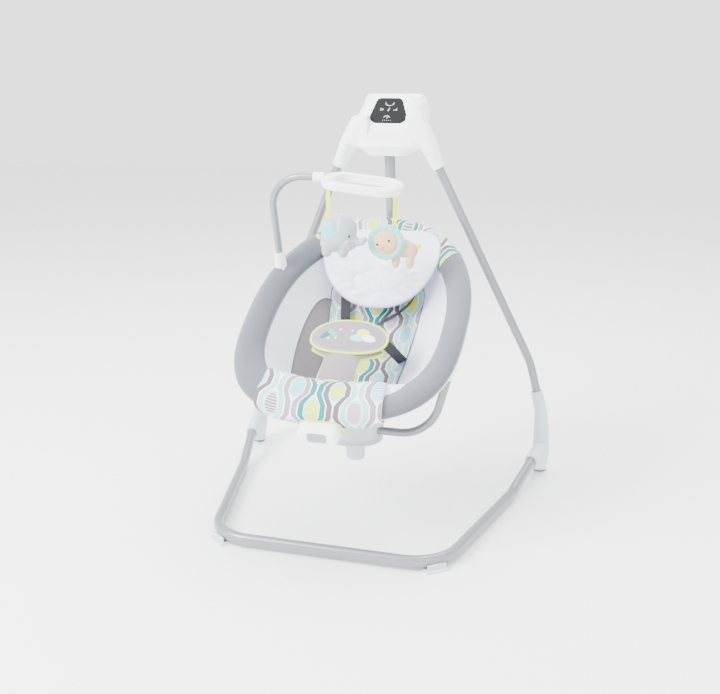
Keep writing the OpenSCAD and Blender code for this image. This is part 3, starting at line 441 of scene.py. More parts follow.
@dataclass(frozen=True)
class Knit:
    """Smooth knit or woven cloth, with its threads and a little melange."""

    name: str
    colour: str
    threads: float = THREADS
    heather: float = 0.0
    depth: float = 0.00018

    def material(self) -> bpy.types.Material:
        """Build the knit.

        Returns:
            The material.
        """
        s = Shader(self.name)
        weave = s.weave(*s.chart(), self.threads)
        fleck = s.grain(640.0, 4.0)
        streak = s.grain(120.0, 3.0)
        lift = weave * 0.05 + fleck * self.heather + streak * 0.04 + (0.96 - self.heather / 2)
        colour = s.tint(hex_colour(self.colour), lift)
        return s.knitted(colour, weave, weave * 0.7 + fleck * 0.3, self.depth)


@dataclass(frozen=True)
class Lattice:
    """Knit printed with a traditional ogee lattice: chained cells with a medallion in each.

    A cell is one pitch wide and one repeat tall, in metres. The widths of the lines and
    bands are shares of a pitch, each with the two values between which its edge fades.
    """

    name: str
    ground: str = "F2F5F4"
    wash: str = "CFE0DC"
    ring: str = "9CCACB"
    stripe: str = "F2F3F3"
    outline: str = "FAFBFB"
    bands: tuple[str, ...] = ("1D7C80", "6A5F68", "9ACDCD", "958A95")
    jewels: tuple[str, ...] = ("7CC4DE", "7A7078", "DDE95A", "B4A0B2", "86CCD6", "CFE25A")
    pitch: float = 0.0475
    repeat: float = 0.092
    start: float = 40.0
    sway: float = 0.175
    bend: float = 1.9
    line: tuple[float, float] = (0.022, 0.034)
    band_start: float = 0.03
    band_edge: tuple[float, float] = (0.285, 0.295)
    rim_edge: tuple[float, float] = (0.315, 0.325)
    jewel_reach: tuple[float, float] = (0.32, 0.44)
    jewel_edge: tuple[float, float] = (0.9, 0.94)
    ring_edge: tuple[float, float] = (1.16, 1.2)
    stripes: float = 17.0
    depth: float = 0.00018

    def _ramp(self, s: Shader, pick: Sock, codes: Sequence[str]) -> Sock:
        """Choose one of the codes by a value from 0 to 1."""
        stops = [(i / len(codes), hex_colour(code)) for i, code in enumerate(codes)]
        return s.node("ShaderNodeValToRGB", {"stops": stops}, {0: pick})

    def _pick(self, s: Shader, a: Sock, b: Sock) -> Sock:
        """Give a steady value from 0 to 1 for a pair of whole numbers."""
        pair = s.node("ShaderNodeCombineXYZ", {}, {0: a, 1: b, 2: 3.7})
        return s.node("ShaderNodeTexWhiteNoise", {"noise_dimensions": "3D"}, {"Vector": pair})

    def material(self) -> bpy.types.Material:
        """Build the printed cloth: ground, bands, medallions and then the outlines.

        Returns:
            The material.
        """
        s = Shader(self.name)
        u, v = s.chart()
        x = u * (1 / self.pitch) + self.start
        y = v * (1 / self.repeat) + self.start
        fold = x.op("PINGPONG", 1.0)
        swing = (y.op("PINGPONG", 0.5) * 4.0 - 1.0) * self.bend
        swing = swing.op("MAXIMUM", -1.0).op("MINIMUM", 1.0)
        gap = fold - (swing * self.sway + 0.5)
        even = gap < 0.0
        odd = 1.0 - even
        away = gap.op("ABSOLUTE")
        line = 1.0 - away.soft(*self.line)
        band = (away > self.band_start) * (1.0 - away.soft(*self.band_edge))
        clear = 1.0 - band
        rim = away.soft(*self.band_edge) * (1.0 - away.soft(*self.rim_edge))
        column = (x * 0.5).op("ROUND") * 2.0 * even
        column = column + (((x * 0.5).op("FLOOR") * 2.0) + 1.0) * odd
        high = y - 0.5 * even
        row = high.op("ROUND")
        bands = self._ramp(s, (column * 0.25 + 0.02).op("FRACT"), self.bands)
        across = (fold * even + (1.0 - fold) * odd) / self.jewel_reach[0]
        along = (high - row) * (self.repeat / self.pitch) / self.jewel_reach[1]
        far = (across.op("POWER", 2.0) + along.op("POWER", 2.0)).op("SQRT")
        jewel = 1.0 - far.soft(*self.jewel_edge)
        halo = (1.0 - far.soft(*self.ring_edge)) * (1.0 - jewel)
        pick = self._pick(s, column + 9.0, row)
        jewels = self._ramp(s, pick, self.jewels)
        stripe = ((y * self.stripes).op("FRACT") > 0.6) * (pick.op("FRACT") < 0.4) * jewel
        wash = self._pick(s, column, row + 30.0) * 0.6
        pale = s.mix(wash, hex_colour(self.ground), hex_colour(self.wash))
        colour = s.mix(band, pale, bands)
        colour = s.mix(halo * clear * 0.9, colour, hex_colour(self.ring))
        colour = s.mix(jewel * clear, colour, jewels)
        colour = s.mix(stripe * clear * 0.6, colour, hex_colour(self.stripe))
        colour = s.mix((line + rim).op("MINIMUM", 1.0), colour, hex_colour(self.outline))
        weave = s.weave(u, v)
        colour = s.tint(colour, weave * 0.06 + s.grain(60.0) * 0.05 + 0.945)
        return s.knitted(colour, weave, weave, self.depth, 0.15)


@dataclass(frozen=True)
class TwoTone:
    """Plain knit with a heather-grey patch painted in along a curve: painted shade in the bowl
    beside the strip.

    The curve runs from low to high along the chart and bulges across it, in metres.
    """

    name: str
    first: str
    second: str
    low: float
    high: float
    bulge: float
    depth: float = 0.0002

    def material(self) -> bpy.types.Material:
        """Build the cloth: the painted shade, a heather-flecked grey, lies where the chart is
        inside the curve.

        Returns:
            The material.
        """
        s = Shader(self.name)
        u, v = s.chart()
        span = (v - self.low) / (self.high - self.low)
        edge = (1.0 - span * span).op("MAXIMUM", 0.0).op("SQRT") * self.bulge
        # inside: the mask of the painted shade beside the strip.
        inside = (edge - u).soft(-0.0004, 0.0004)
        fleck = s.grain(620.0, 4.0)
        weave = s.weave(u, v)
        plain = s.tint(hex_colour(self.first), weave * 0.05 + 0.975)
        # heather: a flecked grey painted where shade falls beside the strip.
        heather = s.tint(hex_colour(self.second), fleck * 0.5 + weave * 0.06 + 0.72)
        colour = s.mix(inside, plain, heather)
        return s.knitted(colour, weave, weave * 0.6 + fleck * 0.4, self.depth)


@dataclass(frozen=True)
class Printed:
    """Heather knit with a plain print of leaves, dots and hills in flat colours.

    Each shape is an ellipse: its place, half width and half height in millimetres, its
    turn in degrees and its colour.
    """

    name: str
    ground: str
    shapes: tuple[tuple[float, float, float, float, float, str], ...]
    depth: float = 0.0002

    def material(self) -> bpy.types.Material:
        """Build the cloth, with each shape laid over the ones before it.

        Returns:
            The material.
        """
        s = Shader(self.name)
        u, v = s.chart()
        fleck = s.grain(640.0, 4.0)
        weave = s.weave(u, v)
        colour = s.tint(hex_colour(self.ground), fleck * 0.45 + 0.76)
        for x, y, wide, tall, turn, code in self.shapes:
            c, n = math.cos(math.radians(turn)), math.sin(math.radians(turn))
            across, along = u - x * MM, v - y * MM
            a = (across * c + along * n) / (wide * MM)
            b = (along * c - across * n) / (tall * MM)
            inside = 1.0 - (a * a + b * b).soft(0.92, 1.06)
            colour = s.mix(inside, colour, hex_colour(code))
        colour = s.tint(colour, weave * 0.06 + 0.97)
        return s.knitted(colour, weave, weave * 0.6 + fleck * 0.4, self.depth)


@dataclass(frozen=True)
class Webbing:
    """Woven webbing with ribs across its width."""

    name: str
    colour: str
    ribs: float = 620.0
    warp: float = 950.0
    depth: float = 0.0004

    def material(self) -> bpy.types.Material:
        """Build the webbing.

        Returns:
            The material.
        """
        s = Shader(self.name)
        u, v = s.chart()
        ribs = (v * self.ribs * math.tau).op("SINE") * 0.5 + 0.5
        warp = (u * self.warp * math.tau).op("SINE") * 0.5 + 0.5
        colour = s.tint(hex_colour(self.colour), ribs * 0.22 + warp * 0.14 + 0.82)
        return s.finish(colour, warp * 0.1 + 0.62, ribs * 0.7 + warp * 0.3, self.depth)


class Finish(Enum):
    """The finishes of the swing, one for each material that it is made of."""

    TUBE = Painted("light_grey_tube", "7E8183")
    ZINC = Painted("zinc_plate", "8A8D90", 0.3, 0.9, 700.0)
    WHITE = Moulded("white_shell", "F4F5F6", 0.34, 1800.0, 0.00002, 0.15)
    MIST = Moulded("pale_hub_plastic", "C3CFD3", 0.42)
    PANEL = Moulded("dark_panel", "1C1D1E", 0.5, 1500.0, 0.00004, 0.0, 0.08)
    ICON = Moulded("panel_mark", "F2F3F4", 0.5)
    BLACK = Moulded("dark_moulding", "1C1B1D", 0.5, shine=0.2)
    GREY_KEY = Moulded("grey_key", "8A9093", 0.45)
    LIME = Moulded("lime_plastic", "B4D21C", 0.45, shine=0.2)
    SOLE = Moulded("sole_rubber", "4A4B4D", 0.75, 900.0, 0.0001)
    BOARD = Moulded("circuit_green", "1E5A35", 0.5)
    COPPER = Painted("copper_wire", "9A5A30", 0.35, 0.9, 900.0)
    CELL = Painted("battery_sleeve", "9A7A30", 0.4, 0.4, 300.0)
    VELOUR = Pile("rim_velour", "5E636B")
    VELOUR_DARK = Pile("seat_back_velour", "5B606B")
    CREAM = Knit("white_knit", "E4E7F8")
    HEATHER = Knit("heather_knit", "8C858B", 700.0, 0.42, 0.0003)
    LIME_BAND = Knit("lime_ribbon", "D2EC2C", 1100.0)
    GREY_CORD = Knit("grey_piping", "60626A", 1200.0)
    PALE_CORD = Knit("pale_piping", "A6A9B8", 1200.0)
    WHITE_TAPE = Knit("white_tape", "F2F3F6", 1200.0)
    PRINT = Lattice("ogee_print")
    # The left side panel's grey patch in this finish is painted shade beside the strip.
    SIDE = TwoTone("side_panel_knit", "E6E8F6", "7E787D", -0.075, 0.140, 0.060)
    MOTIF = Printed(
        "belly_print",
        "8C868C",
        (
            (-52, -2, 17, 8, 38, "13737A"),
            (-38, 3, 15, 7, -38, "49B5B5"),
            (-45, -14, 3, 3, 0, "F2F1E8"),
            (-27, -13, 3.4, 3.4, 0, "DDEB3A"),
            (-21, 14, 3, 3, 0, "F2F1E8"),
            (-2, -4, 3.2, 3.2, 0, "49B5B5"),
            (8, 12, 2.8, 2.8, 0, "F2F1E8"),
            (34, 8, 15, 13, 0, "E6F04A"),
            (26, -8, 19, 11, 8, "77E0F0"),
            (50, -6, 17, 11, -10, "F4F4EE"),
        ),
    )
    STRAP = Webbing("harness_webbing", "29292C")
    TOY_GREY = Pile("grey_plush", "A4ABB4", 60.0, 1100.0, 0.0006, 0.35, 0.12)
    TOY_MINT = Pile("mint_plush", "7CCFCC", 60.0, 1100.0, 0.0006, 0.35, 0.12)
    TOY_BEIGE = Pile("beige_plush", "D6AF92", 60.0, 1100.0, 0.0006, 0.35, 0.12)
    TOY_PINK = Pile("pink_plush", "EE96A2", 60.0, 1100.0, 0.0006, 0.35, 0.12)
    TOY_LIME = Pile("lime_plush", "CFEB2A", 60.0, 1100.0, 0.0006, 0.35, 0.12)
    BEAD = Moulded("eye_bead", "0E0808", 0.25, shine=0.2)

    def cached(self) -> bpy.types.Material:
        """The finish's material, made once."""
        return bpy.data.materials.get(self.value.name) or self.value.material()


# ---------------------------------------------------------------- building pieces


class Piece:
    """A mesh that is being shaped, and then placed on one of the swing's bodies."""

    def __init__(self, name: str, body: str) -> None:
        """Start an empty mesh.

        Args:
            name: The piece's name.
            body: The body that it will ride on.
        """
        self.name = name
        self.body = body
        self.bm = bmesh.new()
        self.chart = self.bm.loops.layers.uv.new("chart")

    def grid(
        self,
        cols: int,
        rows: int,
        place: Callable[[float, float], Vector],
        chart: Callable[[float, float], tuple[float, float]],
    ) -> "Piece":
        """Lay a grid over a surface.

        Args:
            cols: Squares across.
            rows: Squares along.
            place: The point for two shares from 0 to 1, in metres.
            chart: The chart's place for the same shares, in metres.

        Returns:
            The piece.
        """
        made = bmesh.ops.create_grid(self.bm, x_segments=cols, y_segments=rows, size=0.5)
        fresh = set(made["verts"])
        for face in self.bm.faces:
            for loop in face.loops:
                if loop.vert in fresh:
                    at = loop.vert.co
                    loop[self.chart].uv = chart(at.x + 0.5, at.y + 0.5)
        for vert in fresh:
            vert.co = place(vert.co.x + 0.5, vert.co.y + 0.5)
        return self

    def ball(self, place: Callable[[Vector], Vector], around: int = 64, up: int = 32) -> "Piece":
        """Lay a sphere over a closed form.

        Args:
            place: The point for a point of the unit sphere, in metres.
            around: Faces round the sphere.
            up: Faces from pole to pole.

        Returns:
            The piece.
        """
        made = bmesh.ops.create_uvsphere(
            self.bm, u_segments=around, v_segments=up, radius=1.0
        )
        for vert in made["verts"]:
            vert.co = place(vert.co.copy())
        for face in self.bm.faces:
            for loop in face.loops:
                loop[self.chart].uv = (loop.vert.co.x, loop.vert.co.y)
        return self

    def blob(self, centre: Vector, radii: Vector, turn: Matrix | None = None) -> "Piece":
        """Add one ellipsoid.

        Args:
            centre: Its middle, in metres.
            radii: Its three radii, in metres.
            turn: How it is turned.

        Returns:
            The piece.
        """
        spread = Matrix.Diagonal((*radii, 1.0))
        matrix = Matrix.Translation(centre) @ (turn or Matrix.Identity(4)) @ spread
        bmesh.ops.create_icosphere(self.bm, subdivisions=4, radius=1.0, matrix=matrix)
        return self

    def weld(self, gap: float = 0.00005) -> "Piece":
        """Join the vertices that lie together."""
        bmesh.ops.remove_doubles(self.bm, verts=self.bm.verts, dist=gap)
        return self

    def outward(self) -> "Piece":
        """Point every face outwards."""
        bmesh.ops.recalc_face_normals(self.bm, faces=self.bm.faces)
        return self

    def done(self, finish: Finish, *modifiers: tuple[str, dict[str, object]]) -> bpy.types.Object:
        """Make the object, dress it and let it ride.

        Args:
            finish: Its finish.
            modifiers: The type and settings of each modifier, in order.

        Returns:
            The object.
        """
        mesh = bpy.data.meshes.new(self.name)
        self.bm.to_mesh(mesh)
        self.bm.free()
        mesh.shade_smooth()
        mesh.materials.append(finish.cached())
        made = bpy.data.objects.new(self.name, mesh)
        bpy.context.scene.collection.objects.link(made)
        for kind, settings in modifiers:
            add_modifier(made, kind, settings)
        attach(made, self.body)
        LOG.info("%s rides on %s", self.name, self.body)
        return made


def add_modifier(made: bpy.types.Object, kind: str, settings: dict[str, object]) -> None:
    """Give an object one modifier with the same levels in every view.

    Args:
        made: The object.
        kind: The modifier's type.
        settings: Its settings.
    """
    modifier = made.modifiers.new(kind.title(), kind)
    for key, value in settings.items():
        setattr(modifier, key, value)
    if kind == "SUBSURF":
        modifier.render_levels = modifier.levels


def solid(thickness: float, offset: float = -1.0) -> tuple[str, dict[str, object]]:
    """A wall of the given thickness, in metres."""
    return ("SOLIDIFY", {"thickness": thickness, "offset": offset, "use_even_offset": False})


def rounder(levels: int = 1) -> tuple[str, dict[str, object]]:
    """Smooth subdivision."""
    return ("SUBSURF", {"levels": levels})


def softened(width: float, segments: int = 3, angle: float = 40.0) -> tuple[str, dict[str, object]]:
    """Rounded edges, width in metres."""
    limit = {"limit_method": "ANGLE", "angle_limit": math.radians(angle)}
    return ("BEVEL", {"width": width, "segments": segments, **limit})


def bake(made: bpy.types.Object) -> bpy.types.Object:
    """Apply every modifier of an object to its mesh.

    Args:
        made: The object.

    Returns:
        The same object with its final mesh.
    """
    graph = bpy.context.evaluated_depsgraph_get()
    mesh = bpy.data.meshes.new_from_object(made.evaluated_get(graph))
    old = made.data
    made.modifiers.clear()
    made.data = mesh
    mesh.name = made.name
    bpy.data.meshes.remove(old)
    return made


def rope(
    name: str,
    body: str,
    points: Iterable[Vector],
    radius: float,
    finish: Finish,
    closed: bool = False,
) -> bpy.types.Object:
    """Run a round cord, such as a piping or a seam, through points.

    Args:
        name: The piece's name.
        body: The body that it rides on.
        points: The points of its middle line, in metres.
        radius: Its radius, in metres.
        finish: Its finish.
        closed: Whether its ends meet.

    Returns:
        The cord as a mesh object.
    """
    line = bpy.data.curves.new(name, "CURVE")
    line.dimensions = "3D"
    line.bevel_depth = radius
    line.bevel_resolution = CORD_FACETS
    line.use_fill_caps = not closed
    path = list(points)
    run = line.splines.new("POLY")
    run.points.add(len(path) - 1)
    for point, at in zip(run.points, path):
        point.co = (*at, 1.0)
    run.use_cyclic_u = closed
    run.use_smooth = True
    made = bpy.data.objects.new(name + "_line", line)
    bpy.context.scene.collection.objects.link(made)
    graph = bpy.context.evaluated_depsgraph_get()
    mesh = bpy.data.meshes.new_from_object(made.evaluated_get(graph))
    bpy.data.objects.remove(made)
    mesh.name = name
    mesh.materials.clear()
    mesh.materials.append(finish.cached())
    mesh.shade_smooth()
    result = bpy.data.objects.new(name, mesh)
    bpy.context.scene.collection.objects.link(result)
    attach(result, body)
    LOG.info("%s rides on %s", name, body)
    return result


def stitches(
    name: str,
    body: str,
    path: Sequence[Vector],
    finish: Finish,
    step: float = 0.0062,
    radius: float = 0.00055,
) -> bpy.types.Object:
    """Sew a row of stitches along a path.

    Args:
        name: The piece's name.
        body: The body that it rides on.
        path: The points of the row, in metres.
        finish: The thread's finish.
        step: The distance from stitch to stitch, in metres.
        radius: The thread's radius, in metres.

    Returns:
        The row.
    """
    piece = Piece(name, body)
    left = 0.0
    for start, end in zip(path, path[1:]):
        along = end - start
        while left <= along.length:
            facing = along.to_track_quat("Z", "Y").to_matrix().to_4x4()
            spread = Matrix.Diagonal((radius, radius, step * STITCH_SHARE, 1.0))
            spot = Matrix.Translation(start + along.normalized() * left)
            bmesh.ops.create_icosphere(
                piece.bm, subdivisions=1, radius=1.0, matrix=spot @ facing @ spread
            )
            left += step
        left -= along.length
    return piece.done(finish)


def body_of(node: str) -> str:
    """The body that a node belongs to."""
    return str(frame["nodes"][node]["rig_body"])


def dress(node: str, finish: Finish) -> None:
    """Give a node of the frame its finish.

    Args:
        node: The node.
        finish: Its finish.
    """
    held = frame["nodes"][node]
    held.data.materials.clear()
    held.data.materials.append(finish.cached())
    LOG.info("%s is finished in %s", node, finish.value.name)


def shell(node: str, finish: Finish, edge: float = 0.0, angle: float = 32.0) -> bpy.types.Object:
    """Stand a smooth-shaded copy, with softened edges, in place of a moulded node.

    Args:
        node: The node.
        finish: Its finish.
        edge: The width of its softened edges, in metres.
        angle: The least angle of an edge that stays crisp, in degrees.

    Returns:
        The copy.
    """
    held = frame["nodes"][node]
    piece = Piece(node + "_shell", body_of(node))
    piece.bm.from_mesh(held.data)
    bmesh.ops.remove_doubles(piece.bm, verts=piece.bm.verts, dist=MERGE_GAP)
    bmesh.ops.dissolve_limit(
        piece.bm, angle_limit=FLAT_ANGLE, verts=piece.bm.verts, edges=piece.bm.edges
    )
    for item in piece.bm.edges:
        item.smooth = item.calc_face_angle(0.0) < math.radians(angle)
    modifiers = [softened(edge, 3, angle)] if edge else []
    made = piece.done(finish, *modifiers)
    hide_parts(node)
    return made


def spline(points: Sequence[Sequence[float]], share: float) -> Vector:
    """A smooth curve through control points.

    Args:
        points: The control points.
        share: The place along the curve, from 0 to 1.

    Returns:
        The curve's point.
    """
    count = len(points) - 1
    at = min(max(share, 0.0), 1.0) * count
    i = min(int(at), count - 1)
    t = at - i
    p0, p1, p2, p3 = (Vector(points[min(max(i + k, 0), count)]) for k in (-1, 0, 1, 2))
    straight = 2 * p1 + (p2 - p0) * t
    curved = (2 * p0 - 5 * p1 + 4 * p2 - p3) * t**2 + (3 * p1 - p0 - 3 * p2 + p3) * t**3
    return (straight + curved) / 2


def ribbon(
    name: str,
    body: str,
    points: Sequence[Vector],
    side: Vector,
    width: float,
    finish: Finish,
    thick: float = 0.0018,
) -> bpy.types.Object:
    """Lay a strap through points, in metres.

    Args:
        name: The piece's name.
        body: The body that it rides on.
        points: Control points of its middle line.
        side: The direction of its width.
        width: Its width.
        finish: Its finish.
        thick: Its thickness.

    Returns:
        The strap.
    """
    length = sum((b - a).length for a, b in zip(points, points[1:]))
    rows = max(12, int(length / RIBBON_STEP))

    def place(a: float, b: float) -> Vector:
        """The strap's point for two shares."""
        return spline(points, b) + side * width * (a - 0.5)

    def chart(a: float, b: float) -> tuple[float, float]:
        """The strap's own chart."""
        return width * (a - 0.5), length * b

    made = Piece(name, body).grid(8, rows, place, chart)
    return made.done(finish, solid(thick, 0.0), softened(thick * 0.35, 2))


# ---------------------------------------------------------------- the seat


@dataclass(frozen=True)
class SeatPlane:
    """The plane of the seat's rim and the bowl that hangs from it, in millimetres.

    The bowl's floor falls at the front and rises at the back, each from a place along v
    and over a run.
    """

    tilt: float = math.radians(32)
    base: tuple[float, float] = (-44.31, 501.69)
    half_width: float = 265.0
    up: float = 354.0
    down: float = 303.0
    middle: float = -20.0
    square_up: float = 2.2
    square_down: float = 2.9
    bowl_inset: float = 34.0
    bowl_front: float = -230.0
    bowl_lip: float = -6.0
    bowl_square: float = 2.4
    deepest: float = 165.0
    shallower: float = 18.0
    shallower_run: float = 160.0
    front_fall: tuple[float, float] = (-226.0, 100.0)
    back_rise: tuple[float, float] = (120.0, 200.0)
    liner_inset: float = 46.0
    liner_lip: float = -12.0
    liner_gap: float = 4.0

    def at(self, u: float, v: float, n: float) -> Vector:
        """Place a point of the seat.

        Args:
            u: How far across.
            v: How far up the back.
            n: How far out of the plane.

        Returns:
            The point, in metres in the frame of the swing.
        """
        c, s = math.cos(self.tilt), math.sin(self.tilt)
        y, z = self.base
        return Vector((u, y + v * c - n * s, z + v * s + n * c)) * MM

    def power(self, v: float) -> float:
        """How square the rim's outline is on this side of its widest line."""
        return self.square_up if v >= self.middle else self.square_down

    def rim(self, turn: float, inset: float) -> tuple[float, float]:
        """Follow the rim's outline.

        Args:
            turn: The angle round the rim, in radians.
            inset: How far the outline is drawn in.

        Returns:
            The outline's u and v.
        """
        c, s = math.cos(turn), math.sin(turn)
        p = 2 / self.power(self.middle + s)
        reach = (self.up if s >= 0 else self.down) - inset
        u = (self.half_width - inset) * squared(c, p)
        return u, self.middle + reach * squared(s, p)

    def half(self, v: float, inset: float) -> float:
        """Measure half the outline's width.

        Args:
            v: Where it is measured.
            inset: How far the outline is drawn in.

        Returns:
            Half the width.
        """
        reach = (self.up if v >= self.middle else self.down) - inset
        q = min(abs(v - self.middle) / reach, 1.0)
        p = self.power(v)
        return (self.half_width - inset) * (1 - q**p) ** (1 / p)

    def front(self, u: float) -> float:
        """Where the rim's outer edge is at the front, at u."""
        q = min(abs(u) / self.half_width, 1.0)
        return self.middle - self.down * (1 - q**self.square_down) ** (1 / self.square_down)

    def depth(self, v: float) -> float:
        """Measure the bowl's depth along its middle line.

        Args:
            v: Where it is measured.

        Returns:
            The depth.
        """
        (front, fall), (back, rise) = self.front_fall, self.back_rise
        bottom = self.deepest - self.shallower * smooth_step(v / self.shallower_run)
        return bottom * smooth_step((v - front) / fall) * (1 - smooth_step((v - back) / rise))

    def bowl(self, u: float, v: float) -> float:
        """The height n of the bowl's inner face."""
        share = min(abs(u) / max(self.half(v, self.bowl_inset), 1.0), 1.0)
        return self.bowl_lip - self.depth(v) * (1 - share**self.bowl_square)

    def liner(self, u: float, v: float) -> float:
        """Find the lining, which leaves the bowl to rise under the bolster.

        Args:
            u: How far across.
            v: How far up the back.

        Returns:
            The lining's height n.
        """
        edge = max(self.half(v, self.liner_inset), 1.0)
        share = min(abs(u) / edge, 1.0)
        rise = self.liner_lip - self.bowl(edge, v)
        return self.bowl(u, v) + self.liner_gap + max(rise, 0.0) * share**4

    def arc(self, v: float, steps: int = 48) -> float:
        """Measure along the middle of the bowl from its front.

        Args:
            v: Where the measure ends.
            steps: How many chords it is summed from.

        Returns:
            The length, in metres.
        """
        low = self.bowl_front
        total, before = 0.0, Vector((low, self.bowl(0, low)))
        for i in range(1, steps + 1):
            at = low + (v - low) * i / steps
            here = Vector((at, self.bowl(0, at)))
            total += (here - before).length
            before = here
        return total * MM


SEAT = SeatPlane()


@dataclass
class Bolster:
    """The padded rim: velour all round but for the printed part over the top of the back.

    The roll's section runs from outer to wide across the rim, in millimetres, and is
    squared off by the two powers. A share from 0 to 1 goes once round the section, and
    the tag is sewn on at shares of it, each with its lift. The cloth's chart is laid out
    by its reach and girth, in metres.
    """

    seams: tuple[float, float] = (math.radians(39), math.radians(119))
    wide: float = 57.0
    wider_low: float = 15.0
    outer: float = -3.0
    height: float = 18.5
    lift: float = 1.5
    square: tuple[float, float] = (0.85, 0.8)
    slope: float = 17.0
    slope_start: float = 14.0
    slope_run: float = 52.0
    reach: float = 0.285
    girth: float = 0.155
    dents: tuple[float, float] = (2.2, 0.7)
    faces: tuple[int, int] = (300, 44)
    piping_share: float = 0.985
    stitch_share: float = 0.44
    seam_radius: float = 0.0011
    piping_radius: float = 0.0016
    tag_turn: float = math.radians(-50)
    tag_width: float = 0.022
    tag_lift: float = 3.0
    tag_folds: tuple[tuple[float, float], ...] = ((0.47, 0.4), (0.42, 1.0), (0.37, 0.8))

    def section(self, turn: float, share: float) -> tuple[float, float]:
        """Follow the roll's skin round its section.

        Args:
            turn: The angle round the rim, in radians.
            share: The place round the section.

        Returns:
            The inset from the rim's outline and the height n.
        """
        inner = self.wide + smooth_step(-math.sin(turn)) * self.wider_low
        across, up = math.cos(share * math.tau), math.sin(share * math.tau)
        middle, half = (inner + self.outer) / 2, (inner - self.outer) / 2
        inset = middle - half * squared(across, self.square[0])
        n = self.lift + self.height * squared(up, self.square[1])
        return inset, n - self.slope * smooth_step((inset - self.slope_start) / self.slope_run)

    def skin(self, turn: float, share: float) -> Vector:
        """Follow the roll's skin, with its soft dents.

        Args:
            turn: The angle round the rim, in radians.
            share: The place round the section.

        Returns:
            The point, in metres.
        """
        inset, n = self.section(turn, share)
        u, v = SEAT.rim(turn, inset)
        flat = SEAT.at(u, v, 0)
        broad, small = self.dents
        soft = noise.noise(flat * 11) * broad + noise.noise(flat * 34) * small
        return SEAT.at(u, v, n + soft * (0.4 + 0.6 * abs(math.sin(share * math.tau))))

    def part(self, name: str, start: float, end: float, finish: Finish) -> bpy.types.Object:
        """Sew one length of the roll.

        Args:
            name: The piece's name.
            start: The angle where it starts, in radians.
            end: The angle where it ends.
            finish: Its cloth.

        Returns:
            The length of roll.
        """
        cols = int(abs(end - start) / math.tau * self.faces[0])

        def place(a: float, b: float) -> Vector:
            """The roll's point for two shares."""
            return self.skin(start + (end - start) * a, b)

        def chart(a: float, b: float) -> tuple[float, float]:
            """The roll's own chart: its length across, its girth along."""
            return (start + (end - start) * a) * self.reach, b * self.girth

        made = Piece(name, "seat").grid(cols, self.faces[1], place, chart).weld().outward()
        roll = made.done(finish, rounder(1))
        return roll

    def build(self) -> None:
        """Sew the whole rim with its seams and inner piping."""
        top = self.seams
        velour = self.part("bolster_velour", top[1], top[0] + math.tau, Finish.VELOUR)
        self.part("bolster_print", *top, Finish.PRINT)
        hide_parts("rim_bolster")
        for side, turn in zip(("right", "left"), top):
            ring = [self.skin(turn, b) for b in shares(60, True)]
            rope(
                f"bolster_seam_{side}", "seat", ring, self.seam_radius, Finish.GREY_CORD, True
            )
        inner = [self.skin(a * math.tau, self.piping_share) for a in shares(240, True)]
        rope(
            "bolster_inner_piping", "seat", inner, self.piping_radius, Finish.WHITE_TAPE, True
        )
        row = [self.skin(a * math.tau, self.stitch_share) for a in shares(240)]
        stitches("bolster_top_stitches", "seat", row, Finish.GREY_CORD)
        self.tag()

    def tag(self) -> None:
        """Sew the small blank tag to the roll's inner edge, low on the right."""
        turn = self.tag_turn
        here, there = self.skin(turn - 0.03, 0.41), self.skin(turn + 0.03, 0.41)
        side = (there - here).normalized()
        lift = SEAT.at(0, 0, self.tag_lift) - SEAT.at(0, 0, 0)
        points = [self.skin(turn, share) + lift * high for share, high in self.tag_folds]
        ribbon("blank_tag", "seat", points, side, self.tag_width, Finish.WHITE_TAPE, 0.001)


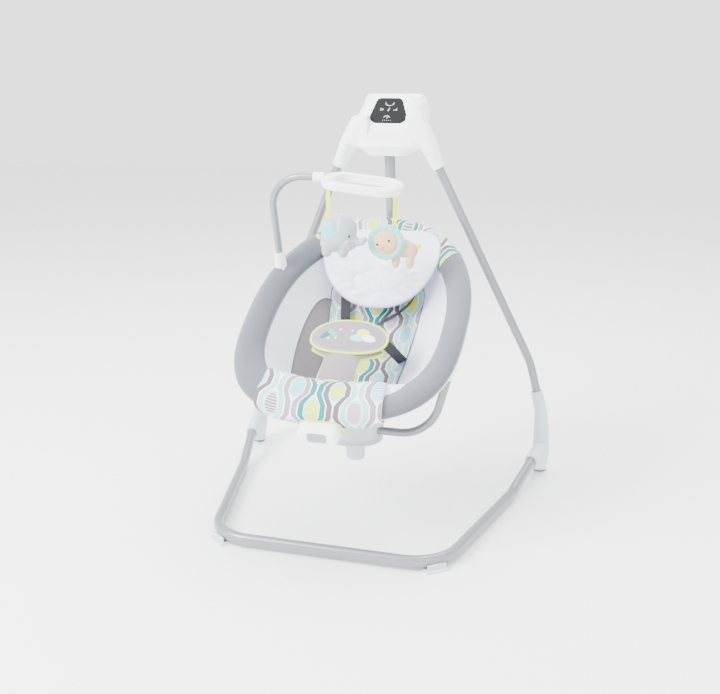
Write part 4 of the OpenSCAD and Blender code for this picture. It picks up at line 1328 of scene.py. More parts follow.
@dataclass
class Lining:
    """The sling, the side panels and the printed body strip inside the rim.

    Places are in millimetres; a cloth's thickness and a piping's radius are in metres.
    """

    low: float = -262.0
    high: float = 272.0
    tuck: float = 4.0
    puff: float = 5.0
    panel_faces: tuple[int, int] = (80, 120)
    panel_folds: Folds = Folds(0.02, 0.02, 5.0, 1.6)
    panel_thick: float = 0.003
    panel_piping_radius: float = 0.0014
    strip_low: float = -234.0
    strip_high: float = 262.0
    strip_half: float = 108.0
    strip_flare: float = 0.1
    strip_most: float = 0.62
    strip_lift: float = 7.0
    strip_crown: float = 5.5
    strip_faces: tuple[int, int] = (72, 150)
    strip_folds: Folds = Folds(0.02, 0.02, 9.0, 1.5)
    strip_thick: float = 0.006
    strip_piping_radius: float = 0.0020
    sling_low: float = -204.0
    sling_run: float = 500.0
    sling_drop: float = 13.0
    sling_faces: tuple[int, int] = (90, 90)
    sling_folds: Folds = Folds(0.012, 0.012, 2.0, 2.5)
    sling_thick: float = 0.003
    sling_seam_radius: float = 0.0012

    def edge(self, v: float) -> float:
        """Half the strip's width at v."""
        most = self.strip_most * SEAT.half(v, SEAT.bowl_inset)
        return min(self.strip_half + self.strip_flare * v, most)

    def sling(self) -> None:
        """Hang the outer sling, seen from below and behind."""

        def place(a: float, b: float) -> Vector:
            """Find the sling's point.

            Args:
                a: The share across.
                b: The share along.

            Returns:
                The point, in metres.
            """
            v = self.sling_low + self.sling_run * b
            u = (2 * a - 1) * SEAT.half(v, SEAT.bowl_inset - 4)
            fold = self.sling_folds.at(u, v)
            n = SEAT.bowl(u, v) - self.sling_drop + fold * (1 - abs(2 * a - 1) ** 3)
            return SEAT.at(u, v, n)

        def chart(a: float, b: float) -> tuple[float, float]:
            """The sling's own chart."""
            return (2 * a - 1) * 0.23, b * 0.6

        piece = Piece("seat_sling", "seat").grid(*self.sling_faces, place, chart)
        made = piece.done(Finish.VELOUR_DARK, solid(self.sling_thick, 1.0), rounder(1))
        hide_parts("seat_bucket")
        line = [self.sling_low + 5 * i for i in range(98)]
        seam = [SEAT.at(0, v, SEAT.bowl(0, v) - (self.sling_drop + 2)) for v in line]
        rope("sling_back_seam", "seat", seam, self.sling_seam_radius, Finish.GREY_CORD)

    def span(self, v: float) -> float:
        """The side panel's width at v, with the part tucked under the strip."""
        return SEAT.half(v, SEAT.liner_inset) - self.edge(v) + self.tuck

    def panel(self, side: int, name: str) -> None:
        """Sew one side panel of white knit, with a grey patch of painted shade on the left one.

        Args:
            side: -1 for the left one, 1 for the right one.
            name: The side's name.
        """

        def spot(a: float, v: float) -> Vector:
            """Find the panel's point.

            Args:
                a: The share from the strip to the bolster.
                v: How far up the back.

            Returns:
                The point, in metres.
            """
            inner, outer = self.edge(v) - self.tuck, SEAT.half(v, SEAT.liner_inset)
            u = inner + (outer - inner) * a
            puff = math.sin(math.pi * min(max(a, 0), 1)) ** 0.7 * self.puff
            soft = self.panel_folds.at(side * u, v)
            return SEAT.at(side * u, v, SEAT.liner(u, v) + puff + soft)

        def along(b: float) -> float:
            """The panel's v for a share of its length."""
            return self.low + (self.high - self.low) * b

        def place(a: float, b: float) -> Vector:
            """The panel's point for two shares."""
            return spot(a, along(b))

        def chart(a: float, b: float) -> tuple[float, float]:
            """The distance from the strip across, and v along."""
            return a * self.span(along(b)) * MM, along(b) * MM

        left = side < 0
        piece = Piece(f"side_panel_{name}", "seat").grid(*self.panel_faces, place, chart)
        # The left panel carries the painted shade beside the strip; the right one is plain white.
        cloth = Finish.SIDE if left else Finish.CREAM
        made = piece.done(cloth, solid(self.panel_thick, 1.0 if left else -1.0))
        if left:
            self.panel_piping(name, spot)

    def panel_piping(self, name: str, spot: Callable[[float, float], Vector]) -> None:
        """Run a grey piping round the edge of the painted shade.

        Args:
            name: The side's name.
            spot: The panel's point for a share across and a v.
        """
        two: TwoTone = Finish.SIDE.value
        points = []
        for i in range(121):
            q = i / 75 - 0.6
            v = (two.low + (two.high - two.low) * q) / MM
            out = two.bulge * math.sqrt(max(1 - q * q, 0.0)) / MM
            points.append(spot(out / self.span(v), v))
        label = f"side_panel_piping_{name}"
        rope(label, "seat", points, self.panel_piping_radius, Finish.GREY_CORD)

    def body_strip(self) -> None:
        """Lay the printed pad along the middle, with its grey piping."""

        def along(b: float) -> float:
            """The pad's v for a share of its length."""
            return self.strip_low + (self.strip_high - self.strip_low) * b

        def place(a: float, b: float) -> Vector:
            """Find the pad's point.

            Args:
                a: The share across.
                b: The share along.

            Returns:
                The point, in metres.
            """
            v = along(b)
            u = (2 * a - 1) * self.edge(v)
            lift = self.strip_lift + self.strip_crown * (1 - abs(2 * a - 1) ** 4)
            return SEAT.at(u, v, SEAT.bowl(u, v) + lift + self.strip_folds.at(u, v))

        def chart(a: float, b: float) -> tuple[float, float]:
            """The pad's own chart, true to its length over the bowl."""
            v = along(b)
            return (2 * a - 1) * self.edge(v) * MM + 0.006, SEAT.arc(v) + 0.02

        piece = Piece("body_strip", "seat").grid(*self.strip_faces, place, chart)
        made = piece.done(Finish.PRINT, solid(self.strip_thick))
        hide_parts("body_pad")
        for side, name in ((0.0, "left"), (1.0, "right")):
            line = [place(side, b) for b in shares(120)]
            label = f"body_strip_piping_{name}"
            rope(label, "seat", line, self.strip_piping_radius, Finish.GREY_CORD)

    def build(self) -> None:
        """Make all of the lining."""
        self.sling()
        for side, name in SIDES:
            self.panel(side, name)
        self.body_strip()


@dataclass
class Headrest:
    """The rounded pillow at the head, with its stitched oval in the middle.

    The oval is given by its middle, half width and half height, in millimetres, and its
    groove and puckers by their height, and by their ring and width as shares of it.
    """

    centre: float = 200.0
    aside: float = 11.0
    half_wide: float = 148.0
    half_tall: float = 100.0
    square: float = 0.87
    thick: float = 16.5
    oval: tuple[float, float, float] = (154.0, 66.0, 28.0)
    groove: float = -10.0
    groove_width: float = 0.10
    pucker: float = 4.8
    pucker_ring: float = 1.35
    pucker_width: float = 0.34
    puckers: int = 13
    height: float = 4.0
    lean: float = 0.40
    cup: float = 34.0
    folds: Folds = Folds(0.018, 0.018, 3.0, 2.4)
    faces: tuple[int, int] = (200, 130)
    piping_radius: float = 0.0022

    def outline(self, turn: float, share: float = 1.0) -> tuple[float, float]:
        """Follow the pillow's outline.

        Args:
            turn: The angle round the pillow, in radians.
            share: How far out from its middle, from 0 to 1.

        Returns:
            The outline's u and v.
        """
        reach = share * (1 + 0.035 * math.sin(3 * turn))
        u = self.aside + self.half_wide * reach * squared(math.cos(turn), self.square)
        return u, self.centre + self.half_tall * reach * squared(math.sin(turn), self.square)

    def rest(self, u: float, v: float) -> float:
        """The height of the pillow's middle plane."""
        return self.height - (300 - v) * self.lean + self.cup * (u / 150) ** 2

    def relief(self, u: float, v: float) -> float:
        """Press in the stitched oval and raise the puckers round it.

        Args:
            u: How far across.
            v: How far up the back.

        Returns:
            What the stitching adds to the height n.
        """
        middle, wide, tall = self.oval
        x, y = (u - self.aside) / wide, (v - middle) / tall
        ring, turn = math.hypot(x, y), math.atan2(y, x)
        groove = self.groove * math.exp(-(((ring - 1) / self.groove_width) ** 2))
        inside = 2.6 * math.cos(u * 0.42) * max(0.0, 1 - ring) ** 0.7 * 0.5
        near = math.exp(-(((ring - self.pucker_ring) / self.pucker_width) ** 2))
        wave = math.cos(self.puckers * turn + 2.2 * math.sin(2 * turn))
        return groove + inside + self.pucker * near * wave + self.folds.at(u, v)

    def build(self) -> None:
        """Stuff the pillow and run its piping."""

        def place(at: Vector) -> Vector:
            """Find the pillow's point.

            Args:
                at: A point of the unit sphere.

            Returns:
                The point, in metres.
            """
            share = min(math.hypot(at.x, at.y), 1.0)
            u, v = self.outline(math.atan2(at.y, at.x), share)
            thick = self.thick * squared(at.z, 0.75)
            fade = smooth_step((1 - share) * 6) if at.z > 0 else 0.0
            return SEAT.at(u, v, self.rest(u, v) + thick + self.relief(u, v) * fade)

        made = Piece("headrest_cushion", "seat").ball(place, *self.faces)
        pillow = made.done(Finish.CREAM)
        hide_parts("headrest_pillow")
        edge = [self.outline(a * math.tau, 1.004) for a in shares(180, True)]
        path = [SEAT.at(u, v, self.rest(u, v)) for u, v in edge]
        rope("headrest_piping", "seat", path, self.piping_radius, Finish.PALE_CORD, True)


@dataclass
class Footrest:
    """The printed pad that rolls over the front of the rim."""

    left: float = -157.0
    right: float = 130.0
    narrower: float = 20.0
    back: float = -231.0
    half: float = 151.0
    girth: float = 0.215
    faces: tuple[int, int] = (110, 90)
    folds: Folds = Folds(0.02, 0.03, 7.0, 2.0)
    sag: float = 10.0
    thick: float = 0.007
    hem_radius: float = 0.0016
    hem: float = 0.03
    back_seam: float = 0.24

    def profile(self, u: float) -> list[tuple[float, float]]:
        """Draw the pad's section at u.

        Args:
            u: How far across.

        Returns:
            Its v and n from its back edge to its hem under the rim.
        """
        edge = SEAT.front(u)
        out = (u / self.half) ** 2
        back = self.back + 25 * out
        rise = 5 * out
        return [
            (back - 8, -26 + rise),
            (back + 2, -12 + rise),
            (back + 1, 2 + rise),
            (back - 10, 10 + rise),
            (edge + 52, 15 + rise * 0.6),
            (edge + 22, 22),
            (edge - 2, 15),
            (edge - 8, -2),
            (edge + 2, -18),
            (edge + 30, -24),
        ]

    def build(self) -> None:
        """Sew the pad with its hems."""

        def place(a: float, b: float) -> Vector:
            """Find the pad's point.

            Args:
                a: The share across.
                b: The share from its back edge to its hem under the rim.

            Returns:
                The point, in metres.
            """
            right = self.right - self.narrower * (1 - smooth_step(b / 0.7))
            u = self.left + (right - self.left) * a
            v, n = spline(self.profile(u), b)
            sag = self.sag * abs(2 * a - 1) ** 10 * (1 - smooth_step((b - 0.3) / 0.3))
            return SEAT.at(u, v, n + self.folds.at(u, v) - sag)

        def chart(a: float, b: float) -> tuple[float, float]:
            """The pad's own chart."""
            u = self.left + (self.right - self.left) * a
            return u * MM + 0.02, b * self.girth

        piece = Piece("footrest_cover", "seat").grid(*self.faces, place, chart)
        made = piece.done(Finish.PRINT, solid(self.thick))
        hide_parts("footrest_pad")
        for share, name in ((0.0, "left"), (1.0, "right")):
            line = [place(share, b) for b in shares(60)]
            rope(f"footrest_hem_{name}", "seat", line, self.hem_radius, Finish.WHITE_TAPE)
            row = [place(abs(share - self.hem), b) for b in shares(60)[12:]]
            stitches(f"footrest_stitches_{name}", "seat", row, Finish.GREY_CORD)
        seam = [place(a, self.back_seam) for a in shares(90)]
        stitches("footrest_back_stitches", "seat", seam, Finish.GREY_CORD)


@dataclass
class Harness:
    """The belly pad, the crotch pad, the straps and the buckle beneath them.

    The straps are given by their middle lines, as u, v and n in millimetres, and the
    direction of their width.
    """

    belly_at: tuple[float, float] = (-84.0, 3.5)
    belly_half: tuple[float, float] = (91.0, 50.0)
    belly_square: tuple[float, float] = (0.86, 0.92)
    belly_thick: float = 9.5
    belly_droop: float = -7.0
    belly_seam: float = 0.93
    belly_folds: Folds = Folds(0.04, 0.04, 1.0, 1.3)
    belly_faces: tuple[int, int] = (128, 64)
    belly_binding_radius: float = 0.0034
    crotch_half: float = 38.0
    crotch_flare: float = 44.0
    crotch_length: float = 92.0
    crotch_faces: tuple[int, int] = (40, 60)
    crotch_thick: float = 0.008
    crotch_binding_radius: float = 0.0050
    strap_width: float = 0.025
    shoulder_left: tuple[tuple[float, float, float], ...] = (
        (-26, -44, -6),
        (-42, 27, -60),
        (-72, 90, -118),
        (-84, 148, -108),
        (-88, 172, -98),
    )
    shoulder_right: tuple[tuple[float, float, float], ...] = (
        (52, -44, -6),
        (42, 28, -60),
        (58, 90, -96),
        (84, 144, -106),
        (98, 176, -100),
    )
    width_left: tuple[float, float, float] = (1, 0, 0)
    width_right: tuple[float, float, float] = (0.42, -0.60, 0.68)

    def loop(self, turn: float, share: float) -> tuple[float, float]:
        """Follow the belly pad's outline, a wide oval.

        Args:
            turn: The angle round the pad, in radians.
            share: How far out from its middle, from 0 to 1.

        Returns:
            The outline's u and v.
        """
        wide, tall = self.belly_half
        u = wide * share * squared(math.cos(turn), self.belly_square[0])
        return u, self.belly_at[0] + tall * share * squared(math.sin(turn), self.belly_square[1])

    def droop(self, u: float) -> float:
        """The height n of the belly pad's middle plane, whose ends bend down."""
        return self.belly_at[1] + self.belly_droop * (u / self.belly_half[0]) ** 2

    def belly_pad(self) -> None:
        """Stuff the belly pad and bind it in lime."""

        def place(at: Vector) -> Vector:
            """Find the pad's point.

            Args:
                at: A point of the unit sphere.

            Returns:
                The point, in metres.
            """
            share = min(math.hypot(at.x, at.y), 1.0)
            u, v = self.loop(math.atan2(at.y, at.x), share)
            thick = self.belly_thick * squared(at.z, 0.8)
            soft = self.belly_folds.at(u, v)
            return SEAT.at(u, v, self.droop(u) + thick + soft * (1 - share))

        piece = Piece("belly_cushion", "seat").ball(place, *self.belly_faces)
        for face in piece.bm.faces:
            for loop in face.loops:
                y, z = (loop.vert.co.y / MM - SEAT.base[0], loop.vert.co.z / MM - SEAT.base[1])
                v = y * math.cos(SEAT.tilt) + z * math.sin(SEAT.tilt)
                loop[piece.chart].uv = (loop.vert.co.x, (v - self.belly_at[0]) * MM)
        made = piece.done(Finish.MOTIF)
        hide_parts("belly_pad")
        edge = [self.loop(a * math.tau, 1.0) for a in shares(128, True)]
        path = [SEAT.at(u, v, self.droop(u)) for u, v in edge]
        rope("belly_binding", "seat", path, self.belly_binding_radius, Finish.LIME_BAND, True)
        sewn = [self.loop(a * math.tau, self.belly_seam) for a in shares(128)]
        thick = self.belly_thick * (1 - self.belly_seam**2) ** 0.4
        row = [SEAT.at(u, v, self.droop(u) + thick + 0.3) for u, v in sewn]
        stitches("belly_stitches", "seat", row, Finish.WHITE_TAPE)

    def crotch_pad(self) -> None:
        """Sew the crotch pad, flared at its top and bound in lime."""

        def spot(a: float, b: float, lift: float = 0.0) -> Vector:
            """Find the pad's point.

            Args:
                a: The share across, from -1 to 1.
                b: The share down from the belly pad.
                lift: How far above the pad's cloth the point is, in millimetres.

            Returns:
                The point, in metres.
            """
            flare = self.crotch_flare * (1 - smooth_step(b / 0.36))
            half = self.crotch_half + flare + 3 * smooth_step((b - 0.6) / 0.4)
            bulge = 6 * (1 - a * a) + 8 * math.sin(math.pi * b)
            n = -14 - 14 * b * b + bulge - 10 * a * a * (1 - b)
            return SEAT.at(half * a - 7 * b, -106 - self.crotch_length * b, n + lift)

        def place(a: float, b: float) -> Vector:
            """The pad's point for two shares."""
            return spot(2 * a - 1, b)

        def chart(a: float, b: float) -> tuple[float, float]:
            """The pad's own chart."""
            return (2 * a - 1) * 0.04, 0.122 * b

        piece = Piece("crotch_cushion", "seat").grid(*self.crotch_faces, place, chart)
        made = piece.done(Finish.HEATHER, solid(self.crotch_thick), softened(0.002, 2))
        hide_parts("crotch_pad")
        for side, name in SIDES:
            line = [spot(side * 1.02, b, 2.0) for b in shares(60)]
            label = f"crotch_binding_{name}"
            rope(label, "seat", line, self.crotch_binding_radius, Finish.LIME_BAND)
            row = [spot(side * 0.84, b, 0.4) for b in shares(60)]
            stitches(f"crotch_stitches_{name}", "seat", row, Finish.WHITE_TAPE)

    def waist(self, side: int) -> list[Vector]:
        """Trace one waist strap from the belly pad to its slot.

        Args:
            side: -1 for the left one, 1 for the right one.

        Returns:
            Its control points, in metres.
        """
        rise = 62 if side < 0 else 0
        return [
            SEAT.at(side * 66, -74, -4),
            SEAT.at(side * 82, -60 + rise * 0.3, -46),
            SEAT.at(side * 91, -40 + rise * 0.6, -94),
            SEAT.at(side * 99, -16 + rise, -148),
        ]

    def strap(self, name: str, points: Sequence[Vector], across: Vector) -> bpy.types.Object:
        """Cut one strap, laid through points with its width across."""
        return ribbon(name, "seat", points, across, self.strap_width, Finish.STRAP)

    def straps(self) -> None:
        """Run the shoulder and waist straps from the pads to their slots."""
        shoulders = (
            (self.shoulder_left, self.width_left),
            (self.shoulder_right, self.width_right),
        )
        for (side, name), (line, across) in zip(SIDES, shoulders):
            shoulder = [SEAT.at(*point) for point in line]
            made = self.strap(f"shoulder_strap_{name}", shoulder, Vector(across))
            if side < 0:
                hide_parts("shoulder_straps")
            along = SEAT.at(side * 0.82, 0.55, 0.18) / MM - SEAT.at(0, 0, 0) / MM
            made = self.strap(f"waist_strap_{name}", self.waist(side), along)
            if side < 0:
                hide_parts("waist_straps")

    def build(self) -> None:
        """Make the harness."""
        self.belly_pad()
        self.crotch_pad()
        self.straps()
        shell("harness_buckle", Finish.BLACK, 0.001)
        shell("buckle_release", Finish.LIME, 0.0008)


# ---------------------------------------------------------------- hard parts


@dataclass
class HardParts:
    """Tubes and mouldings: smooth-shaded copies with softened edges."""

    tubes: tuple[str, ...] = (
        "base_tube",
        "leg_tube_left",
        "leg_tube_right",
        "swing_arm",
        "cradle_tube_left",
        "cradle_tube_right",
        "toy_bar_tube",
        "ring_tube",
    )
    white: tuple[str, ...] = (
        "head_front",
        "head_rear",
        "side_connector_left",
        "side_connector_right",
        "toy_bar_socket",
        "bar_branch",
        "toy_ring",
        "vibration_housing",
    )
    pale: tuple[str, ...] = (
        "boot_left",
        "boot_right",
        "front_foot_left",
        "front_foot_right",
        "hub_base",
        "hub_bell",
        "hub_cap",
        "release_knob",
        "battery_door",
    )
    others: dict[str, Finish] = field(
        default_factory=lambda: {
            "sole_pads": Finish.SOLE,
            "leg_lock_pins": Finish.ZINC,
            "control_panel": Finish.PANEL,
            "circuit_board": Finish.BOARD,
            "battery_tray": Finish.BLACK,
            "battery_cells": Finish.CELL,
            "drive_coil": Finish.COPPER,
            "swing_axle": Finish.ZINC,
            "axle_bearings": Finish.BLACK,
            "head_screws": Finish.ZINC,
            "arm_hanger": Finish.BLACK,
            "drive_magnet": Finish.ZINC,
            "hub_screws": Finish.ZINC,
            "recline_lug_left": Finish.ZINC,
            "recline_lug_right": Finish.ZINC,
            "vibration_motor": Finish.ZINC,
            "vibration_button": Finish.GREY_KEY,
            "strap_buttons": Finish.LIME,
        }
    )
    white_edge: float = 0.0012
    pale_edge: float = 0.0010

    def build(self) -> None:
        """Make every hard part."""
        for node in self.tubes:
            shell(node, Finish.TUBE)
        for node in self.white:
            shell(node, Finish.WHITE, self.white_edge)
        for node in self.pale:
            shell(node, Finish.MIST, self.pale_edge)
        for node, finish in self.others.items():
            dress(node, finish)


@dataclass
class Sleeves:
    """The head's shoulders and the boots' necks, closed over the ends of the tubes.

    Each runs along control points of the right side, in millimetres, which the left
    side mirrors.
    """

    head: tuple[tuple[float, float, float], ...] = (
        (82, 243, 896),
        (96, 231, 889),
        (109, 226, 870),
        (121, 231, 845),
        (129, 236, 827),
    )
    head_radius: float = 0.0142
    boot: tuple[tuple[float, float, float], ...] = (
        (398, 240, 60),
        (403, 262, 66),
        (408, 284, 71),
        (411, 300, 71),
        (413, 313, 62),
    )
    boot_radius: float = 0.0166

    def build(self) -> None:
        """Mould the four sleeves."""
        for label, path, radius, finish, slot in (
            ("head", self.head, self.head_radius, Finish.WHITE, "white_plastic"),
            ("boot", self.boot, self.boot_radius, Finish.MIST, "pale_plastic"),
        ):
            for side, name in SIDES:
                turned = [(side * x, y, z) for x, y, z in path]
                line = [spline(turned, b) * MM for b in shares(40)]
                made = rope(f"{label}_sleeve_{name}", "frame", line, radius, finish)


@dataclass
class PanelMarks:
    """Plain marks on the control panel: a swing, waves, a note, bars, a dial and dots.

    They are laid out in millimetres from the panel's middle, and a line is given by the
    radius of its cord.
    """

    lean: float = math.radians(22.14)
    base: tuple[float, float, float] = (0, 0.206 + (0.959 - 0.872) * 0.4068, 0.959)
    proud: float = 0.0001

    def mark(self, name: str, points: Sequence[tuple[float, float]], radius: float) -> None:
        """Print one line.

        Args:
            name: The mark's name.
            points: The line's points.
            radius: The line's radius.
        """
        up = Vector((0, math.sin(self.lean), math.cos(self.lean)))
        out = Vector((0, -math.cos(self.lean), math.sin(self.lean)))
        base = Vector(self.base)
        face = frame["nodes"]["control_panel"].data.vertices
        reach = max((v.co - base).dot(out) for v in face) + self.proud
        line = [base + Vector((x * MM, 0, 0)) + up * y * MM + out * reach for x, y in points]
        rope(f"mark_{name}", "frame", line, radius * MM, Finish.ICON)

    def arc(self, x: float, y: float, r: float, a: float, b: float) -> list[tuple[float, float]]:
        """Draw an arc of radius r about x and y, from angle a to b in degrees."""
        turns = [math.radians(a + (b - a) * i / 24) for i in range(25)]
        return [(x + r * math.cos(t), y + r * math.sin(t)) for t in turns]

    def build(self) -> None:
        """Print every mark."""
        for name, points, radius in (
            ("swing_path", self.arc(1, 30, 17, 232, 308), 0.45),
            ("swing_left", [(-9.6, 21.6), (-9.9, 17.0), (-6.6, 18.0)], 0.45),
            ("swing_right", [(11.6, 21.6), (11.9, 17.0), (8.6, 18.0)], 0.45),
            ("wave_low", [(-23, 0), (-20, 2.4), (-17, 0), (-14, 2.4)], 0.42),
            ("wave_high", [(-23, 3.4), (-20, 5.8), (-17, 3.4), (-14, 5.8)], 0.42),
            ("note_head", self.arc(-1.4, 0.5, 1.3, 0, 360), 0.5),
            ("note_stem", [(0, 0.5), (0, 6.4), (3.0, 5.0)], 0.42),
        ):
            self.mark(name, points, radius)
        for i in range(3):
            x = 13 + 3.6 * i
            self.mark(f"volume_bar_{i}", [(x, 0), (x, 2 + 1.9 * i)], 0.5)
        self.mark("dial_arc", self.arc(-4, -22, 8.5, 25, 155), 0.6)
        self.mark("dial_needle", [(-4, -21), (-1, -16.4)], 0.5)
        for i in range(5):
            self.mark(f"speed_dot_{i}", [(-14 + 5 * i, -25.4), (-12.6 + 5 * i, -25.4)], 0.5)


@dataclass
class VibrationTrim:
    """The lime ribbon round the vibration unit, where the cloth meets it."""

    centre: tuple[float, float] = (-350.8, -13.0)
    tilt: float = math.radians(76)
    half: tuple[float, float] = (46.5, 20.5)
    square: tuple[float, float] = (0.45, 0.6)
    depth: float = -9.0
    radius: float = 0.0032

    def point(self, turn: float) -> Vector:
        """Follow the ribbon.

        Args:
            turn: The angle round the unit, in radians.

        Returns:
            The point, in metres.
        """
        c, s = math.cos(self.tilt), math.sin(self.tilt)
        x = self.half[0] * squared(math.cos(turn), self.square[0])
        y = self.half[1] * squared(math.sin(turn), self.square[1])
        v = self.centre[0] + y * c - self.depth * s
        return SEAT.at(x, v, self.centre[1] + y * s + self.depth * c)

    def build(self) -> None:
        """Run the ribbon round the unit."""
        points = [self.point(a * math.tau) for a in shares(96, True)]
        rope("vibration_trim", "seat", points, self.radius, Finish.LIME_BAND, True)


# ---------------------------------------------------------------- toys


@dataclass
class Plush:
    """One stuffed toy, built up of soft lobes and hung on a ribbon.

    A lobe is given by its centre and radii in millimetres and, where it is turned, its
    turn about Y in degrees. The pattern is sized about its centre and then shifted.
    """

    name: str
    finish: Finish
    lobes: list[tuple[float, ...]]
    centre: tuple[float, float, float]
    shift: tuple[float, float, float]
    scale: float

    def at(self, x: float, y: float, z: float) -> Vector:
        """A point of the toy's pattern, placed and sized, in metres."""
        middle = Vector(self.centre)
        return (middle + (Vector((x, y, z)) - middle) * self.scale + Vector(self.shift)) * MM

    def lump(
        self, label: str, finish: Finish, lobes: Sequence[tuple[float, ...]], fine: float
    ) -> bpy.types.Object:
        """Melt lobes into one smooth form.

        Args:
            label: What follows the toy's name in the piece's name.
            finish: Its plush.
            lobes: Its lobes.
            fine: The size of the mesh, in metres.

        Returns:
            The form.
        """
        piece = Piece(f"{self.name}_{label}", self.name)
        for x, y, z, rx, ry, rz, *turn in lobes:
            spin = Matrix.Rotation(math.radians(turn[0]) if turn else 0.0, 4, "Y")
            piece.blob(self.at(x, y, z), Vector((rx, ry, rz)) * MM * self.scale, spin)
        made = piece.done(
            finish,
            ("REMESH", {"mode": "VOXEL", "voxel_size": fine, "use_smooth_shade": True}),
            ("SMOOTH", {"factor": 0.6, "iterations": 7}),
        )
        bake(made)
        made.data.shade_smooth()
        return made

    def body(self) -> bpy.types.Object:
        """Stuff the toy's body.

        Returns:
            The body.
        """
        made = self.lump("plush", self.finish, self.lobes, 0.0018)
        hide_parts(f"{self.name}_toy")
        return made

    def eye(self, label: str, x: float, y: float, z: float, size: float = 2.4) -> None:
        """Sew on one bead eye.

        Args:
            label: What follows the toy's name in the piece's name.
            x: Its place across in the pattern.
            y: Its place from front to back.
            z: Its height.
            size: Its radius.
        """
        piece = Piece(f"{self.name}_{label}", self.name)
        piece.blob(self.at(x, y, z), Vector((size, size * 0.7, size)) * MM)
        piece.done(Finish.BEAD)

    def thread(self, label: str, points: Iterable[Vector], radius: float, finish: Finish) -> None:
        """Sew one line of thread on the toy."""
        rope(f"{self.name}_{label}", self.name, points, radius, finish)


@dataclass
class ToyBar:
    """The toys and their ribbons, whose width and thickness are in metres."""

    ribbon_width: float = 0.010
    ribbon_thick: float = 0.0014

    def elephant(self) -> None:
        """Make the elephant, which faces right."""
        toy = Plush(
            "elephant",
            Finish.TOY_GREY,
            [
                (-60, -50, 724, 33, 24, 31),
                (-70, -50, 706, 36, 24, 27),
                (-80, -50, 694, 27, 21, 19),
                (-52, -50, 696, 25, 20, 18),
                (-92, -54, 679, 11, 12, 15),
                (-56, -54, 678, 11, 12, 14),
                (-34, -51, 702, 11, 10, 10),
                (-25, -51, 698, 9, 9, 8.5),
                (-17, -51, 699, 8, 8, 7.5),
                (-11, -51, 704, 6.5, 6.5, 6.5),
            ],
            (-62, -50, 712),
            (24, 0, -26),
            1.12,
        )
        made = toy.body()
        for label, finish, lobe, fine in (
            ("ear", Finish.TOY_MINT, (-81, -71, 722, 18, 5.5, 21, -8), 0.0014),
            ("cheek", Finish.TOY_PINK, (-43, -70.5, 701, 5, 2.2, 4), 0.0008),
            ("tail", Finish.TOY_LIME, (-110, -50, 706, 7, 4, 5, 30), 0.0012),
        ):
            toy.lump(label, finish, [lobe], fine)
        toy.eye("eye", -38, -70.8, 712)
        turns = [b * math.pi * 0.5 for b in shares(30)]
        seam = [toy.at(-60, -50 - 24.3 * math.sin(t), 724 + 31.2 * math.cos(t)) for t in turns]
        toy.thread("seam", seam, 0.0007, Finish.WHITE_TAPE)

    def lion(self) -> None:
        """Make the lion, whose head is at the left."""
        toy = Plush(
            "lion",
            Finish.TOY_BEIGE,
            [
                (74, -10, 708, 30, 22, 29),
                (102, -3, 694, 26, 18, 19),
                (118, -3, 690, 17, 16, 18),
                (90, -11, 668, 9, 10, 15),
                (120, -11, 668, 9, 10, 15),
            ],
            (88, -10, 700),
            (-6, 0, -40),
            1.13,
        )
        made = toy.body()
        turns = [a * math.tau for a in shares(16, True)]
        mane = [(72 + 31 * math.cos(t), -24, 709 + 30 * math.sin(t), 8.5, 8, 8.5) for t in turns]
        for label, finish, lobes, fine in (
            ("mane", Finish.TOY_MINT, mane, 0.0016),
            ("face", Finish.TOY_BEIGE, [(72, -27, 709, 27, 12, 26)], 0.0016),
            ("nose", Finish.TOY_PINK, [(68, -39.5, 702, 4.5, 2.2, 3)], 0.0008),
            ("tail", Finish.TOY_LIME, [(137, -6, 700, 6, 4, 5, -25)], 0.0012),
        ):
            toy.lump(label, finish, lobes, fine)
        toy.eye("eye_left", 57, -38.0, 705)
        toy.eye("eye_right", 82, -39.2, 714)
        mouth = [toy.at(68, -39.5, 700), toy.at(67.4, -39.6, 695), toy.at(65, -39.0, 693)]
        toy.thread("mouth", mouth, 0.0005, Finish.GREY_CORD)

    def ribbons(self) -> None:
        """Hang each toy from the ring on its lime ribbon."""
        for name, x, y, top, low in (
            ("elephant", -68, -50, 796, 722),
            ("lion", 82, -12, 786, 704),
        ):
            line = ((x, y - 3, low), (x, y - 2, (top + low) / 2), (x, y, top))
            made = ribbon(
                f"{name}_ribbon",
                name,
                [Vector(point) * MM for point in line],
                Vector((1, 0, 0)),
                self.ribbon_width,
                Finish.LIME_BAND,
                self.ribbon_thick,
            )
            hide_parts(f"{name}_strap")

    def build(self) -> None:
        """Make the toys."""
        self.elephant()
        self.lion()
        self.ribbons()


# ---------------------------------------------------------------- studio


@dataclass(frozen=True)
class Lamp:
    """One soft square lamp: its place, side and aim in metres and its power in watts."""

    name: str
    place: tuple[float, float, float]
    size: float
    power: float
    aim: tuple[float, float, float]

    def build(self) -> None:
        """Hang the lamp."""
        light = bpy.data.lights.new(self.name, "AREA")
        light.size = self.size
        light.energy = self.power
        made = bpy.data.objects.new(self.name, light)
        point_at(made, self.place, self.aim)
        bpy.context.scene.collection.objects.link(made)


def point_at(made: bpy.types.Object, place: Sequence[float], aim: Sequence[float]) -> None:
    """Stand a lamp or camera in its place and face it to a point.

    Args:
        made: The lamp or camera.
        place: Where it stands, in metres.
        aim: The point that it faces.
    """
    made.location = place
    facing = Vector(aim) - Vector(made.location)
    made.rotation_euler = facing.to_track_quat("-Z", "Y").to_euler()


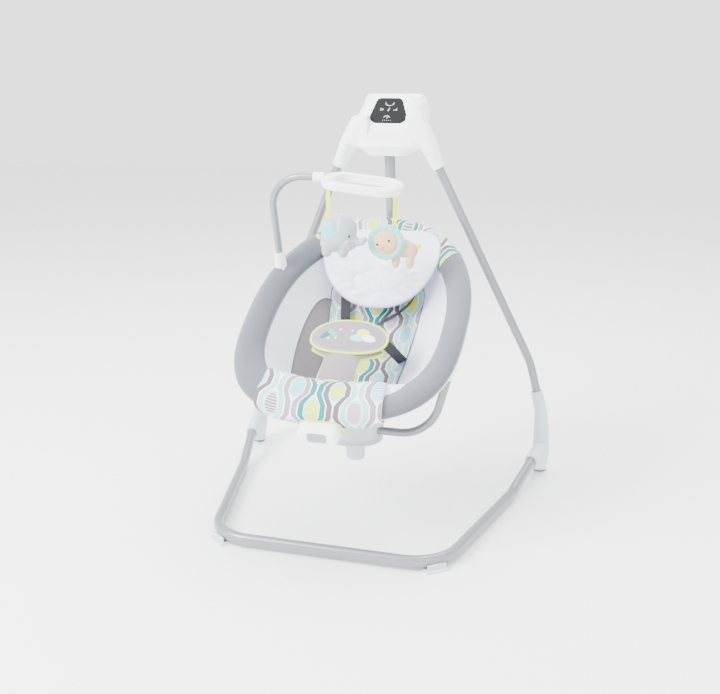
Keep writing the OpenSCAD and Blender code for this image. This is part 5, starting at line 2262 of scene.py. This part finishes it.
@dataclass
class Studio:
    """A pale floor, soft light and the camera."""

    lamps: tuple[Lamp, ...] = (
        Lamp("key", (-2.4, -2.4, 2.8), 1.9, 520, (0, 0, 0.45)),
        Lamp("fill", (2.8, -1.8, 1.8), 2.6, 50, (0, 0, 0.5)),
        Lamp("top", (0.2, 0.9, 3.4), 2.8, 220, (0, 0, 0.4)),
    )
    floor_half: float = 9.0
    back_light: float = 2.4
    lens_length: float = 48.6
    camera_place: tuple[float, float, float] = (0.627, -2.200, 1.033)
    camera_aim: tuple[float, float, float] = (-0.035, 0.100, 0.376)

    def floor(self) -> None:
        """Lay the floor."""
        bm = bmesh.new()
        bmesh.ops.create_grid(bm, x_segments=1, y_segments=1, size=self.floor_half)
        mesh = bpy.data.meshes.new("floor")
        bm.to_mesh(mesh)
        bm.free()
        made = bpy.data.objects.new("floor", mesh)
        bpy.context.scene.collection.objects.link(made)
        s = Shader("studio_floor")
        colour = s.tint(hex_colour("FAFAFB"), s.grain(0.6) * 0.01 + 0.995)
        mesh.materials.append(s.finish(colour, 0.6, s.grain(40.0), 0.00001))

    def camera(self) -> None:
        """Stand the camera in front, a little to the right and above."""
        lens = bpy.data.cameras.new("camera")
        lens.lens = self.lens_length
        lens.sensor_width = 36.0
        made = bpy.data.objects.new("camera", lens)
        point_at(made, self.camera_place, self.camera_aim)
        bpy.context.scene.collection.objects.link(made)
        bpy.context.scene.camera = made

    def build(self) -> None:
        """Set up the studio."""
        self.floor()
        for lamp in self.lamps:
            lamp.build()
        world = bpy.data.worlds.new("studio")
        world.use_nodes = True
        back = world.node_tree.nodes["Background"]
        back.inputs[0].default_value = (1.0, 1.0, 1.0, 1.0)
        back.inputs[1].default_value = self.back_light
        bpy.context.scene.world = world
        self.camera()


def main() -> None:
    """Dress the swing and light it."""
    logging.basicConfig(level=logging.INFO, format="%(name)s: %(message)s")
    HardParts().build()
    Sleeves().build()
    PanelMarks().build()
    Bolster().build()
    Lining().build()
    Headrest().build()
    Footrest().build()
    Harness().build()
    VibrationTrim().build()
    ToyBar().build()
    Studio().build()


if __name__ == "__main__":
    main()
